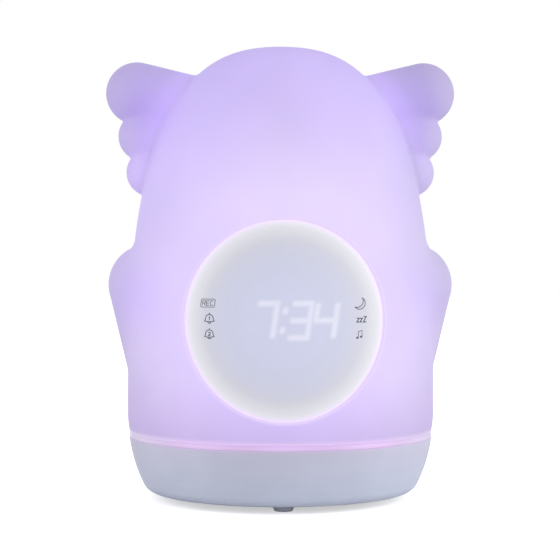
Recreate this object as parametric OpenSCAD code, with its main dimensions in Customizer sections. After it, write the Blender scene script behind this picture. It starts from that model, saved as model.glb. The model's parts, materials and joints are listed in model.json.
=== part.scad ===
// Bedside clock for children: a glowing silicone animal on a rigid base.
// The axis of the body is Z, the table is z = 0 and the display faces -Y.

/* [Body] */
// Height of the top of the head above the table
head_top = 188.6; // [184:0.2:193]
// Radius of the body at its widest
body_r = 64; // [63.6:0.1:65]
// Exponent that rounds the head along its height
dome_power_z = 3.1; // [3:0.05:3.2]
// Exponent that rounds the head across its width
dome_power_r = 2.7; // [2.65:0.05:2.8]
// Wall of the silicone shade, and thickness of the display window
shade_wall = 2; // [1.8:0.1:2.2]

/* [Gills and arms] */
// Distance of the upper gill's round end from the axis
upper_gill_x = 59.9; // [58:0.1:62]
// Height of the upper gill's round end
upper_gill_z = 169.1; // [167:0.1:170]
// Radius of the upper gill
upper_gill_r = 13; // [12:0.1:14]
// Radius of the middle gill
middle_gill_r = 10.3; // [9.6:0.1:11]
// Radius of the lower gill
lower_gill_r = 9.9; // [9.2:0.1:10.5]
// Height of the shoulder of each arm
arm_z = 87.8; // [86:0.1:90]
// Radius of the shoulder of each arm
arm_r = 15.5; // [14.5:0.1:16]

/* [Display] */
// Radius of the round display window
window_r = 38.6; // [38:0.1:38.8]
// Height of the middle of the display window
window_z = 76.4; // [75.6:0.1:78]
// Height of a digit
digit_h = 14.4; // [13:0.2:15]
// Width of a lit segment
segment_w = 2; // [1.6:0.1:2.2]

/* [Base] */
// Height of the seam between the base and the shade
seam_z = 26; // [26:0.1:27]
// Wall of the base housing
base_wall = 2.2; // [2:0.1:2.3]
// Distance of the feet from the axis
foot_circle_r = 41; // [40.8:0.1:41.4]
// Radius of the rubber tip that a foot stands on
foot_tip_r = 3.9; // [3.5:0.1:4.2]

/* [Controls] */
// Diameter of a round key
key_d = 7.6; // [7:0.1:7.8]
// Distance between neighbouring keys
key_pitch = 10.5; // [10.4:0.05:10.6]
// Travel of a key
key_travel = 0.7; // [0.5:0.05:0.8]
// Travel of the power switch
switch_travel = 4; // [3:0.1:4.2]

/* [Clearances] */
// Gap between pieces that move past each other
moving_gap = 0.3; // [0.3:0.02:0.36]
// Gap between a cover and the opening that it closes
cover_gap = 0.2; // [0.15:0.01:0.25]
// Gap round a piece that sits still in its seat
fit_gap = 0.2; // [0.15:0.01:0.25]
// Gap round the shaft of a screw in a clearance hole
screw_gap = 0.2; // [0.1:0.02:0.3]

/* [Hidden] */
$fn = 64;

// Heights of the pieces stacked at the seam, from the base upwards
deck_t = 2;
flange_t = 2;
clamp_t = 2;
deck_top = seam_z + deck_t;
flange_top = deck_top + flange_t;
clamp_top = flange_top + clamp_t;

// Silicone body
tuck = 0.7;
tuck_h = 4;
tuck_top = deck_top + tuck_h;
dome_h = head_top - deck_top;
dome_steps = 24;
flange_w = 14;
flange_inner_r = body_r - flange_w;
limb_step = 0.02;
gill_tilt = 13.5;
gill_reach = 26;
small_gill_reach = 18;
middle_gill = [body_r - 6.5, upper_gill_z - 17.9];
lower_gill = [body_r - 9.4, upper_gill_z - 33];
arm_x = body_r - 7.5;
wrist = [body_r - 3, arm_z - 34];
wrist_r = 3;

// Display
window_gap = 0.6;
board_t = 1.6;
board_gap = 0.4;
cup_r = window_r - fit_gap;
cup_wall = 1.6;
cup_bore_r = cup_r - cup_wall;
cup_flange_w = 4.4;
cup_flange_r = window_r + cup_flange_w;
cup_flange_t = 1.5;
cup_floor_t = 2;
halo_led_ring_r = cup_flange_r + 1.5;
halo_led_count = 16;
halo_outer_r = halo_led_ring_r + 1.5;
halo_room_r = body_r - shade_wall - 1.3;
halo_face_y = -sqrt(halo_room_r * halo_room_r - halo_outer_r * halo_outer_r);
cup_floor_y = halo_face_y + board_t;
cup_back_y = cup_floor_y + cup_floor_t;
board_post_r = 3;
display_board_r = cup_bore_r - board_gap;
board_post_ring_r = display_board_r - 5.4;
digit_slant = 10;
digit_w = 8.2;
digit_x = [-16.7, -7.05, 7.05, 16.7];
mask_size = [2 * (digit_x[3] + digit_w / 2 + 4.2), digit_h + 5.6];
mask_depth = 8.2;
film_t = 0.3;
film_room_r = body_r - shade_wall - 1.5;
film_front_y = -sqrt(film_room_r * film_room_r - mask_size[0] * mask_size[0] / 4);
mask_front_y = film_front_y + film_t;
board_face_y = mask_front_y + mask_depth;
display_board_y = board_face_y + board_t;
colon_spread = digit_h / 4;
segment_gap = 0.5;
stand_half_w = 16;
stand_t = 3;
stand_foot_t = 3;
stand_screw_dx = 11;
stand_screw_dz = 16;
stand_top_z = window_z + stand_screw_dz + 8;
stand_front_y = cup_back_y + stand_t;
stand_screw_y = [stand_front_y + 7, stand_front_y + 18];
stand_foot_y = stand_screw_y[1] + 4;
stand_rib_t = 2;
ribbon_t = 0.4;
ribbon_slot_t = 2;
display_ribbon_w = 12;
ribbon_window = [display_ribbon_w + 2, 3];
display_ribbon_z = window_z - 26;
display_ribbon_y = stand_front_y + 3;

// Deck and its boards
deck_r = body_r - tuck - 0.9;
locator_r = flange_inner_r - 0.5;
locator_h = 3;
locator_t = 2;
ring_screw_r = body_r - 9;
clamp_boss_r = 3.2;
clamp_boss_top = clamp_top + 4.5;
clamp_outer_r = ring_screw_r + 5;
glow_board_y = 18;
glow_board_r = 25;
glow_board_z = deck_top + 3;
glow_post_r = 2.5;
glow_led = [5, 5, 1.4];
glow_post_ring_r = 20;
glow_led_ring_r = 13;
glow_led_count = 8;

// Base housing
base_rim_r = body_r - tuck;
base_lean = 0.111;
base_bulge = 0.0097;
base_bottom_z = 3;
base_edge_r = 6.5;
floor_t = 2;
floor_top = base_bottom_z + floor_t;
ledge_h = 2;
ledge_top = floor_top + ledge_h;
cover_r = body_r - 16.2;
ledge_r = cover_r - 2.7;
rim_ledge_t = 2.2;
rim_ledge_z = seam_z - rim_ledge_t;
rim_ledge_r = ring_screw_r - 4;
cover_screw_r = cover_r - 3.2;
cover_screw_l = 8;
cover_boss_r = 3.5;
cover_boss_top = floor_top + 9;

// Feet
foot_angles = [-90, 30, 150];
foot_tip_h = 1.6;
foot_collar_r = foot_tip_r + 1.5;
foot_stem_r = 2.4;
foot_stem_top = base_bottom_z + 1.4;

// Control panel in the back of the base
panel_y = body_r - 14;
panel_inner_y = panel_y - base_wall;
panel_half_w = 31;
panel_bottom_z = 5.5;
key_row_z = seam_z - 7.8;
socket_row_z = 10;
key_hole_r = key_d / 2 + moving_gap;
key_flange_r = key_d / 2 + 1;
key_flange_t = 1;
key_flange_back_y = panel_inner_y - moving_gap;
key_flange_front_y = key_flange_back_y - key_flange_t;
key_face_y = panel_y + 1.6;
key_stem_r = 1.5;
key_board_y = panel_inner_y - 5.8;
key_board_back_y = key_board_y - board_t;
key_board_half_w = 29.5;
key_board_bottom_z = ledge_top + board_gap;
key_board_top_z = rim_ledge_z - board_gap;
plunger_y = key_board_y + 2.8;
key_stem_y = plunger_y + key_travel + moving_gap;
tact_switch_w = 6;
key_board_screw_x = 2 * key_pitch;
key_board_screw_z = socket_row_z + 1.9;
key_x = [for (i = [0:5]) (i - 2.5) * key_pitch];
switch_x = -13;
switch_body_size = [10.8, 5];
switch_front_y = panel_inner_y - 0.8;
switch_stem = 2;
switch_depth = 2.3;
microphone_x = 13;
microphone_r = 2;
microphone_h = 2.2;
sound_hole_r = 0.8;
usb_size = [8.94, 3.26];
usb_corner_r = 1.5;
usb_wall = 0.3;
usb_mouth_y = panel_y - 0.4;

// Loudspeaker
speaker_y = 19;
speaker_r = 18;
speaker_gasket_t = 0.6;
speaker_seat_z = floor_top + speaker_gasket_t;
speaker_lip_t = 1.2;
speaker_cone_r = 15.6;
speaker_well_top = floor_top + 2.6;
surround_w = 1.1;
cone_t = 0.7;
voice_coil_r = 6;
voice_coil_top = 7.6;
dust_cap_r = 3.6;
magnet_r = 11;
magnet_z = speaker_seat_z + 8.6;
magnet_top = magnet_z + 5.2;

// Batteries
cell_r = 5.25;
cell_body = 43.6;
cell_nub = 0.9;
cell_gap = 0.15;
cell_pitch = 2 * cell_r + 0.5;
last_cell_y = -8;
cell_y = [for (i = [0:2]) last_cell_y - (2 - i) * cell_pitch];
cell_z = floor_top + cell_r + 0.05;
cell_nub_r = 2.6;
contact_t = 0.4;
contact_w = 9;
spring_l = 2.7;
spring_wide_r = 3.8;
spring_narrow_r = 2.2;
bay_half_l = (cell_body + cell_nub + spring_l) / 2 + contact_t;
bay_front_y = cell_y[0] - cell_r - cell_gap;
bay_back_y = last_cell_y + cell_r + cell_gap;
bay_wall = 1.4;
bay_top = cell_z + cell_r + 0.3;
bay_roof = bay_top + 1.2;
door_t = 1.6;
hinge_r = 1.4;
hinge_y = bay_back_y - moving_gap - hinge_r;
hinge_z = base_bottom_z + hinge_r;
hinge_pin_r = 0.8;
hinge_pin_l = 0.9;
door_front_y = bay_front_y + moving_gap;
door_half_l = bay_half_l - moving_gap;
tab_x = 10;
tab_half_w = 3;
tab_reach = 5;
tab_wall = 1.2;
tab_roof = floor_top + 3.4;
door_screw_y = door_front_y - 2.4;

// Main board
main_board_z = seam_z - 5;
main_board_top = main_board_z + board_t;
main_board_half_w = 40;
main_board_y = [stand_front_y + 1, 28];
main_post_r = 3;
main_post_xy = [
    for (x = [-1, 1], y = [main_board_y[0] + 6, main_board_y[1] - 5]) [x * (main_board_half_w - 4), y]
];
key_ribbon_half_w = 8;
glow_ribbon_half_w = 4;
glow_ribbon_y = glow_board_y - 11;
tap_sensor_r = 7.5;
tap_sensor_x = -24;

// Screws
big_screw_r = 1.25;
big_head_r = 2.3;
big_head_h = 1.6;
flat_head_h = 1.2;
small_screw_r = 1;
small_head_r = 1.9;
small_head_h = 1.3;
door_head_h = 0.7;
door_screw_l = 3.2;

// Colours
lilac_silicone = "#d9c9fb";
milky_window = "#dcdde9";
base_lilac = "#c4c2dc";
board_green = "#2f6b4a";
steel = "#b9bcc2";

// A box given by its lowest and its highest corner.
module box_between(low, high) {
    translate(low) cube(high - low);
}

// A round bar along Y, from y0 back to y1.
module bar_y(x, z, y0, y1, r) {
    translate([x, y1, z]) rotate([90, 0, 0]) cylinder(h = y1 - y0, r = r);
}

// A round bar along Z, from z0 up to z1.
module bar_z(x, y, z0, z1, r) {
    translate([x, y, z0]) cylinder(h = z1 - z0, r = r);
}

// Corner points of a rectangle with round corners, centred on the origin.
function round_rect(size, r, steps = 6) = [
    for (corner = [0:3], i = [0:steps])
        let (a = 90 * (corner + i / steps))
        let (sx = corner == 0 || corner == 3 ? 1 : -1)
        let (sy = corner < 2 ? 1 : -1)
        [sx * (size[0] / 2 - r) + r * cos(a), sy * (size[1] / 2 - r) + r * sin(a)]
];

// A plate with round corners that faces -Y and reaches from y0 back to y1.
module plate_y(x, z, size, r, y0, y1) {
    translate([x, y1, z]) rotate([90, 0, 0])
        linear_extrude(y1 - y0) polygon(round_rect(size, r));
}

// A screw whose head starts at z0 and whose shaft points up.
module screw_up(x, y, z0, head_r, head_h, shaft_r, shaft_l) {
    bar_z(x, y, z0, z0 + head_h, head_r);
    bar_z(x, y, z0 + head_h / 2, z0 + head_h + shaft_l, shaft_r);
}

// A big screw whose head is under the face at z.
module big_screw_up(x, y, z, shaft_l) {
    screw_up(x, y, z - big_head_h, big_head_r, big_head_h, big_screw_r, shaft_l);
}

// The body without gills and arms, moved inwards by inset and starting at z0.
module torso(inset, z0) {
    r = body_r - inset;
    h = dome_h - inset;
    foot_r = r - tuck * max(tuck_top - z0, 0) / tuck_h;
    dome = [
        for (i = [0:dome_steps])
            let (a = 90 * i / dome_steps)
            [r * pow(cos(a), 2 / dome_power_r), deck_top + h * pow(sin(a), 2 / dome_power_z)]
    ];
    above = [for (p = dome) if (p[1] > tuck_top + 1 && p[0] > 1) p];
    rotate_extrude()
        polygon(concat([[0, z0], [foot_r, z0], [r, tuck_top]], above, [[0, deck_top + h]]));
}

// A limb between two round ends in the XZ plane; its sides run just inside the ends.
module limb(tip, root, tip_r, root_r) {
    reach = norm(root - tip);
    slope = (tip_r - root_r) / reach;
    side = sqrt(1 - slope * slope);
    translate([tip[0], 0, tip[1]]) rotate([0, atan2(root[0] - tip[0], root[1] - tip[1]), 0]) {
        sphere(tip_r);
        translate([0, 0, tip_r * slope])
            cylinder(h = reach + (root_r - tip_r) * slope,
                r1 = tip_r * side - limb_step, r2 = root_r * side - limb_step);
        translate([0, 0, reach]) sphere(root_r);
    }
}

// The whole animal as a solid, moved inwards by inset.
module animal(inset, z0) {
    torso(inset, z0);
    for (side = [0, 1]) mirror([side, 0, 0]) {
        limb([upper_gill_x, upper_gill_z],
            [upper_gill_x - gill_reach * cos(gill_tilt), upper_gill_z - gill_reach * sin(gill_tilt)],
            upper_gill_r - inset, upper_gill_r - inset);
        limb(middle_gill, middle_gill - [small_gill_reach, 2],
            middle_gill_r - inset, middle_gill_r - inset);
        limb(lower_gill, lower_gill - [small_gill_reach, 0],
            lower_gill_r - inset, lower_gill_r - inset);
        limb([arm_x, arm_z], wrist, arm_r - inset, wrist_r - inset / 2);
    }
}

// Four places at 45 degrees to the axes, on a circle of radius r.
module on_diagonals(r) {
    for (a = [45, 135, 225, 315]) translate([r * cos(a), r * sin(a), 0]) children();
}

module shade() {
    color(lilac_silicone) difference() {
        animal(0, deck_top);
        animal(shade_wall, flange_top);
        bar_z(0, 0, deck_top - 1, flange_top + 1, flange_inner_r);
        bar_y(0, window_z, -body_r - 10, 0, window_r + window_gap);
        on_diagonals(ring_screw_r)
            bar_z(0, 0, deck_top - 1, flange_top + 1, big_screw_r + screw_gap);
    }
}

module display_window() {
    color(milky_window) intersection() {
        difference() {
            torso(0, deck_top);
            torso(shade_wall, deck_top);
        }
        bar_y(0, window_z, -body_r - 10, cup_back_y, window_r);
    }
}

// The tube behind the window, with a front flange that carries the edge of the shade.
module display_cup() {
    color("whitesmoke") {
        difference() {
            intersection() {
                torso(shade_wall, deck_top);
                bar_y(0, window_z, -body_r, cup_back_y, cup_flange_r);
            }
            bar_y(0, window_z, -body_r, cup_floor_y, cup_bore_r);
            intersection() {
                torso(shade_wall + cup_flange_t, deck_top);
                difference() {
                    bar_y(0, window_z, -body_r, cup_floor_y, cup_flange_r + 1);
                    bar_y(0, window_z, -body_r - 1, cup_floor_y + 1, cup_r);
                }
            }
            for (x = [-1, 1], z = [-1, 1])
                bar_y(x * stand_screw_dx, window_z + z * stand_screw_dz,
                    cup_floor_y - 1, cup_back_y + 1, big_screw_r);
            halo_screw_places() bar_y(0, 0, cup_floor_y - 1, cup_back_y + 1, small_screw_r);
            plate_y(0, display_ribbon_z, ribbon_window, 0.6,
                cup_floor_y - 1, cup_back_y + 1);
        }
        for (a = [90, 210, 330])
            difference() {
                board_post(a) bar_y(0, 0, display_board_y, cup_floor_y, board_post_r);
                board_post(a) bar_y(0, 0, display_board_y - 1, cup_floor_y - 1, small_screw_r);
            }
    }
}

// Places of the three posts of the display board.
module board_post(a) {
    translate([board_post_ring_r * cos(a), 0, window_z + board_post_ring_r * sin(a)]) children();
}

// Places of the four screws of the halo board.
module halo_screw_places() {
    r = cup_r + small_head_r + moving_gap;
    for (a = [45, 135, 225, 315])
        translate([r * cos(a), 0, window_z + r * sin(a)]) children();
}

// The seven bars of a digit, each as its centre, its length and whether it is upright.
function segment_bars() =
    let (h = digit_h - segment_w, w = digit_w - segment_w)
    concat(
        [for (i = [-1:1]) [[0, i * h / 2], w - segment_gap, false]],
        [for (x = [-1, 1], y = [-1, 1]) [[x * w / 2, y * h / 4], h / 2 - segment_gap, true]]
    );

// A point of a digit at x, leaned over to the right.
function leaned(x, p) = [x + p[0] + tan(digit_slant) * p[1], p[1]];

// The six corners of a bar with pointed ends, round the origin.
function bar_points(length, upright) =
    let (a = length / 2, b = segment_w / 2)
    let (flat = [[-a, 0], [b - a, b], [a - b, b], [a, 0], [a - b, -b], [b - a, -b]])
    [for (p = flat) upright ? [p[1], p[0]] : p];

// All apertures of the mask, drawn flat: four digits and a colon.
module segment_outline() {
    for (x = digit_x, bar = segment_bars())
        polygon([for (p = bar_points(bar[1], bar[2])) leaned(x, bar[0] + p)]);
    for (side = [-1, 1])
        translate(leaned(0, [0, side * colon_spread])) circle(segment_w / 2);
}

module segment_mask() {
    color("whitesmoke") difference() {
        plate_y(0, window_z, mask_size, 1, mask_front_y, board_face_y);
        translate([0, board_face_y + 1, window_z]) rotate([90, 0, 0])
            linear_extrude(mask_depth + 2) segment_outline();
    }
}

module segment_film() {
    color("white")
        plate_y(0, window_z, mask_size, 1, film_front_y, mask_front_y);
}

module segment_leds() {
    led = [1.3, 0.8, 1.3];
    places = concat(
        [for (x = digit_x, bar = segment_bars()) leaned(x, bar[0])],
        [for (side = [-1, 1]) leaned(0, [0, side * colon_spread])]
    );
    color("lightyellow") for (p = places)
        translate([p[0], board_face_y - led[1] / 2, window_z + p[1]]) cube(led, center = true);
}

module display_board() {
    color(board_green) difference() {
        bar_y(0, window_z, board_face_y, display_board_y, display_board_r);
        for (a = [90, 210, 330])
            board_post(a) bar_y(0, 0, board_face_y - 1, display_board_y + 1, small_screw_r + screw_gap);
    }
}

module display_board_screws() {
    color(steel) for (a = [90, 210, 330]) board_post(a) {
        bar_y(0, 0, board_face_y - small_head_h, board_face_y, small_head_r);
        bar_y(0, 0, board_face_y - small_head_h / 2, cup_floor_y - 2, small_screw_r);
    }
}

module display_stand() {
    color("gainsboro") difference() {
        union() {
            box_between([-stand_half_w, cup_back_y, deck_top],
                [stand_half_w, stand_front_y, stand_top_z]);
            box_between([-stand_half_w, cup_back_y, deck_top],
                [stand_half_w, stand_foot_y, deck_top + stand_foot_t]);
            for (x = [-stand_half_w, stand_half_w - stand_rib_t])
                translate([x, 0, 0]) rotate([90, 0, 90])
                    linear_extrude(stand_rib_t) polygon([[stand_front_y - 1, deck_top + 2],
                        [stand_foot_y - 1, deck_top + 2], [stand_front_y - 1, window_z + 4]]);
        }
        for (x = [-1, 1], z = [-1, 1])
            bar_y(x * stand_screw_dx, window_z + z * stand_screw_dz,
                cup_back_y - 1, stand_front_y + 1, big_screw_r + screw_gap);
        for (x = [-1, 1], y = stand_screw_y)
            bar_z(x * stand_screw_dx, y, deck_top - 1, deck_top + stand_foot_t + 1, big_screw_r);
        plate_y(0, display_ribbon_z, ribbon_window, 0.6,
            cup_back_y - 1, stand_front_y + 1);
        ribbon_slot(deck_top - 1, deck_top + stand_foot_t + 1);
    }
}

// The upright slot that lets the display ribbon down to the main board.
module ribbon_slot(z0, z1) {
    box_between([-ribbon_window[0] / 2, display_ribbon_y - ribbon_slot_t / 2, z0],
        [ribbon_window[0] / 2, display_ribbon_y + ribbon_slot_t / 2, z1]);
}

module stand_screws() {
    color(steel) {
        for (x = [-1, 1], z = [-1, 1]) {
            bar_y(x * stand_screw_dx, window_z + z * stand_screw_dz,
                stand_front_y, stand_front_y + big_head_h, big_head_r);
            bar_y(x * stand_screw_dx, window_z + z * stand_screw_dz,
                cup_floor_y, stand_front_y + big_head_h / 2, big_screw_r);
        }
        for (x = [-1, 1], y = stand_screw_y)
            big_screw_up(x * stand_screw_dx, y, seam_z, deck_t + stand_foot_t);
    }
}

module halo_board() {
    color(board_green) difference() {
        bar_y(0, window_z, halo_face_y, cup_floor_y, halo_outer_r);
        bar_y(0, window_z, halo_face_y - 1, cup_floor_y + 1, cup_r + fit_gap);
        halo_screw_places()
            bar_y(0, 0, halo_face_y - 1, cup_floor_y + 1, small_screw_r + screw_gap);
    }
}

module halo_leds() {
    led = [2, 1, 2];
    color("lightyellow") for (i = [0:halo_led_count - 1])
        let (a = 360 * (i + 0.5) / halo_led_count)
        translate([halo_led_ring_r * cos(a), halo_face_y - led[1] / 2,
            window_z + halo_led_ring_r * sin(a)])
            rotate([0, -a, 0]) cube(led, center = true);
}

module halo_board_screws() {
    color(steel) halo_screw_places() {
        bar_y(0, 0, halo_face_y - small_head_h, halo_face_y, small_head_r);
        bar_y(0, 0, halo_face_y - small_head_h / 2, cup_back_y - 0.4, small_screw_r);
    }
}

module glow_board() {
    color(board_green) difference() {
        bar_z(0, glow_board_y, glow_board_z, glow_board_z + board_t, glow_board_r);
        glow_post_places() bar_z(0, 0, glow_board_z - 1, glow_board_z + board_t + 1,
            small_screw_r + screw_gap);
    }
}

// Places of the three posts under the glow board.
module glow_post_places() {
    for (a = [30, 150, 270])
        translate([glow_post_ring_r * cos(a), glow_board_y + glow_post_ring_r * sin(a), 0])
            children();
}

module glow_leds() {
    color("lightyellow") for (i = [0:glow_led_count - 1])
        translate([0, glow_board_y, glow_board_z + board_t])
            rotate([0, 0, 360 * i / glow_led_count])
                translate([glow_led_ring_r - glow_led[0] / 2, -glow_led[1] / 2, 0]) cube(glow_led);
}

module glow_board_screws() {
    top = glow_board_z + board_t;
    color(steel) glow_post_places() {
        bar_z(0, 0, top, top + small_head_h, small_head_r);
        bar_z(0, 0, deck_top - 0.5, top + small_head_h / 2, small_screw_r);
    }
}

module clamp_ring() {
    color("whitesmoke") difference() {
        union() {
            difference() {
                bar_z(0, 0, flange_top, clamp_top, clamp_outer_r);
                bar_z(0, 0, flange_top - 1, clamp_top + 1, flange_inner_r + fit_gap);
            }
            on_diagonals(ring_screw_r) bar_z(0, 0, clamp_top - 0.5, clamp_boss_top, clamp_boss_r);
        }
        on_diagonals(ring_screw_r) bar_z(0, 0, flange_top - 1, clamp_boss_top - 1, big_screw_r);
    }
}

module ring_screws() {
    color(steel) on_diagonals(ring_screw_r)
        big_screw_up(0, 0, rim_ledge_z, clamp_boss_top - 1.5 - rim_ledge_z);
}

// The clear plate between base and shade; its edge shows in the seam.
module light_deck() {
    color("#f3c6f6") difference() {
        union() {
            bar_z(0, 0, seam_z, deck_top, deck_r);
            difference() {
                bar_z(0, 0, seam_z + 1, deck_top + locator_h, locator_r);
                bar_z(0, 0, seam_z, deck_top + locator_h + 1, locator_r - locator_t);
            }
            glow_post_places() bar_z(0, 0, seam_z + 1, glow_board_z, glow_post_r);
            for (p = main_post_xy) bar_z(p[0], p[1], main_board_top, seam_z + 1, main_post_r);
        }
        on_diagonals(ring_screw_r) bar_z(0, 0, seam_z - 1, deck_top + 1, big_screw_r + screw_gap);
        glow_post_places() bar_z(0, 0, deck_top - 0.6, glow_board_z + 1, small_screw_r);
        for (p = main_post_xy) bar_z(p[0], p[1], main_board_top - 1, seam_z + 1, small_screw_r);
        for (x = [-1, 1], y = stand_screw_y)
            bar_z(x * stand_screw_dx, y, seam_z - 1, deck_top + 1, big_screw_r + screw_gap);
        ribbon_slot(seam_z - 1, deck_top + 1);
        glow_ribbon_slot(seam_z - 1, deck_top + 1);
    }
}

// Radius of the base at height z, before its bottom edge is rounded.
function base_r(z) =
    let (d = seam_z - z)
    base_rim_r - base_lean * d - base_bulge * d * d;

// Outside of the base: a leaning side and a round bottom edge that runs out flat.
module base_outside() {
    middle_z = base_bottom_z + base_edge_r / 2;
    lean_angle = atan(base_lean + 2 * base_bulge * (seam_z - middle_z));
    turn_z = base_bottom_z + base_edge_r * (1 - sin(lean_angle));
    centre = [base_r(turn_z) - base_edge_r * cos(lean_angle), base_bottom_z + base_edge_r];
    side = [for (i = [0:6]) let (z = seam_z + (turn_z - seam_z) * i / 6) [base_r(z), z]];
    edge = [
        for (i = [1:8])
            let (a = -lean_angle - (90 - lean_angle) * i / 8)
            centre + base_edge_r * [cos(a), sin(a)]
    ];
    rotate_extrude() polygon(concat([[0, seam_z]], side, edge, [[0, base_bottom_z]]));
}

// Room inside the base, above the ledge that the bottom cover is screwed to.
module base_room() {
    side = [
        for (i = [0:5])
            let (z = ledge_top + (rim_ledge_z - ledge_top) * i / 5)
            [base_r(z) - base_wall, z]
    ];
    rotate_extrude() polygon(concat([[0, ledge_top]], side,
        [[rim_ledge_r, rim_ledge_z], [rim_ledge_r, seam_z + 1], [0, seam_z + 1]]));
}

module base_housing() {
    color(base_lilac) difference() {
        union() {
            difference() {
                base_outside();
                difference() {
                    base_room();
                    box_between([-panel_half_w - base_wall, panel_inner_y, 0],
                        [panel_half_w + base_wall, body_r, seam_z]);
                }
                bar_z(0, 0, 0, floor_top, cover_r + cover_gap);
                bar_z(0, 0, 0, ledge_top + 1, ledge_r);
            }
            on_diagonals(cover_screw_r) bar_z(0, 0, floor_top, cover_boss_top, cover_boss_r);
            for (x = [-1, 1])
                bar_y(x * key_board_screw_x, key_board_screw_z, key_board_y, panel_inner_y + 1, 2.2);
        }
        box_between([-panel_half_w, panel_y, panel_bottom_z],
            [panel_half_w, body_r + 1, rim_ledge_z]);
        for (x = key_x) bar_y(x, key_row_z, panel_inner_y - 1, panel_y + 1, key_hole_r);
        plate_y(0, socket_row_z, usb_size + 2 * [fit_gap, fit_gap], usb_corner_r + fit_gap,
            panel_inner_y - 1, panel_y + 1);
        bar_y(microphone_x, socket_row_z, panel_inner_y - 1, panel_y + 1, sound_hole_r);
        switch_slot(panel_inner_y - 1, panel_y + 1);
        on_diagonals(ring_screw_r)
            bar_z(0, 0, rim_ledge_z - 1, seam_z + 1, big_screw_r + screw_gap);
        on_diagonals(cover_screw_r)
            bar_z(0, 0, floor_top - 1, cover_boss_top - 1.5, big_screw_r);
        for (x = [-1, 1])
            bar_y(x * key_board_screw_x, key_board_screw_z, key_board_y - 1,
                panel_inner_y + 0.6, small_screw_r);
    }
}

// The slot in which the stem of the power switch slides.
module switch_slot(y0, y1) {
    half_w = (switch_stem + switch_travel) / 2 + moving_gap;
    half_h = switch_stem / 2 + moving_gap;
    box_between([switch_x - half_w, y0, socket_row_z - half_h],
        [switch_x + half_w, y1, socket_row_z + half_h]);
}

// Holes of the loudspeaker grille: one in the middle and three rings.
module grille_holes() {
    translate([0, speaker_y, base_bottom_z - 1]) {
        cylinder(h = floor_t + 2, r = 1.1);
        for (ring = [1:3], i = [0:6 * ring - 1])
            rotate([0, 0, 60 * i / ring]) translate([4.4 * ring, 0, 0])
                cylinder(h = floor_t + 2, r = 1.1);
    }
}

module foot_places() {
    for (a = foot_angles)
        translate([foot_circle_r * cos(a), foot_circle_r * sin(a), 0]) children();
}

module bottom_cover() {
    bay_low = [-bay_half_l, bay_front_y, base_bottom_z - 1];
    bay_high = [bay_half_l, bay_back_y, bay_top];
    wall = [bay_wall, bay_wall, 0];
    color(base_lilac) difference() {
        union() {
            bar_z(0, 0, base_bottom_z, floor_top, cover_r);
            box_between([bay_low[0], bay_low[1], base_bottom_z] - wall,
                [bay_high[0], bay_high[1], bay_roof] + wall);
            box_between([tab_x - tab_half_w - tab_wall, bay_front_y - tab_reach - tab_wall, base_bottom_z],
                [tab_x + tab_half_w + tab_wall, bay_front_y, tab_roof]);
            difference() {
                bar_z(0, speaker_y, base_bottom_z, speaker_well_top, speaker_r + 1.6);
                bar_z(0, speaker_y, floor_top, speaker_well_top + 1, speaker_r + fit_gap);
            }
        }
        box_between(bay_low, bay_high);
        box_between([tab_x - tab_half_w - moving_gap, door_front_y - tab_reach - moving_gap,
            base_bottom_z - 1],
            [tab_x + tab_half_w + moving_gap, bay_front_y + 1, base_bottom_z + door_t + moving_gap]);
        bar_z(tab_x, door_screw_y, base_bottom_z, tab_roof - 0.8, small_screw_r + moving_gap);
        translate([-bay_half_l - hinge_pin_l - fit_gap, hinge_y, hinge_z]) rotate([0, 90, 0])
            cylinder(h = 2 * (bay_half_l + hinge_pin_l + fit_gap), r = hinge_pin_r + 0.1);
        grille_holes();
        foot_places() bar_z(0, 0, base_bottom_z - 1, foot_stem_top, foot_stem_r);
        on_diagonals(cover_screw_r) {
            bar_z(0, 0, base_bottom_z - 1, base_bottom_z + flat_head_h + 0.1, big_head_r + moving_gap);
            bar_z(0, 0, base_bottom_z, floor_top + 1, big_screw_r + screw_gap);
        }
    }
}

module bottom_screws() {
    color(steel) on_diagonals(cover_screw_r)
        screw_up(0, 0, base_bottom_z + 0.1, big_head_r, flat_head_h, big_screw_r, cover_screw_l);
}

// A collar against the cover, a smaller tip to stand on, and a stem in the cover.
module rubber_feet() {
    soft = 0.4;
    color("#9398a4") foot_places() rotate_extrude() polygon([
        [0, 0], [foot_tip_r - soft, 0], [foot_tip_r, soft], [foot_tip_r, foot_tip_h],
        [foot_collar_r - soft, foot_tip_h], [foot_collar_r, foot_tip_h + soft],
        [foot_collar_r, base_bottom_z], [foot_stem_r, base_bottom_z],
        [foot_stem_r, foot_stem_top], [0, foot_stem_top]
    ]);
}

module speaker_gasket() {
    color("#3a3a40") difference() {
        bar_z(0, speaker_y, floor_top, speaker_seat_z, speaker_r);
        bar_z(0, speaker_y, floor_top - 1, speaker_seat_z + 1, speaker_cone_r);
    }
}

module speaker_frame() {
    steel_t = 1;
    neck = magnet_r + 1;
    top = magnet_z - speaker_seat_z;
    color("#44464c") translate([0, speaker_y, speaker_seat_z]) rotate_extrude() polygon([
        [speaker_cone_r, 0], [speaker_r, 0], [speaker_r, speaker_lip_t],
        [speaker_r - steel_t, speaker_lip_t], [neck, top - steel_t], [neck, top], [0, top],
        [0, top - steel_t], [neck - steel_t, top - steel_t], [speaker_cone_r, speaker_lip_t]
    ]);
}

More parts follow.
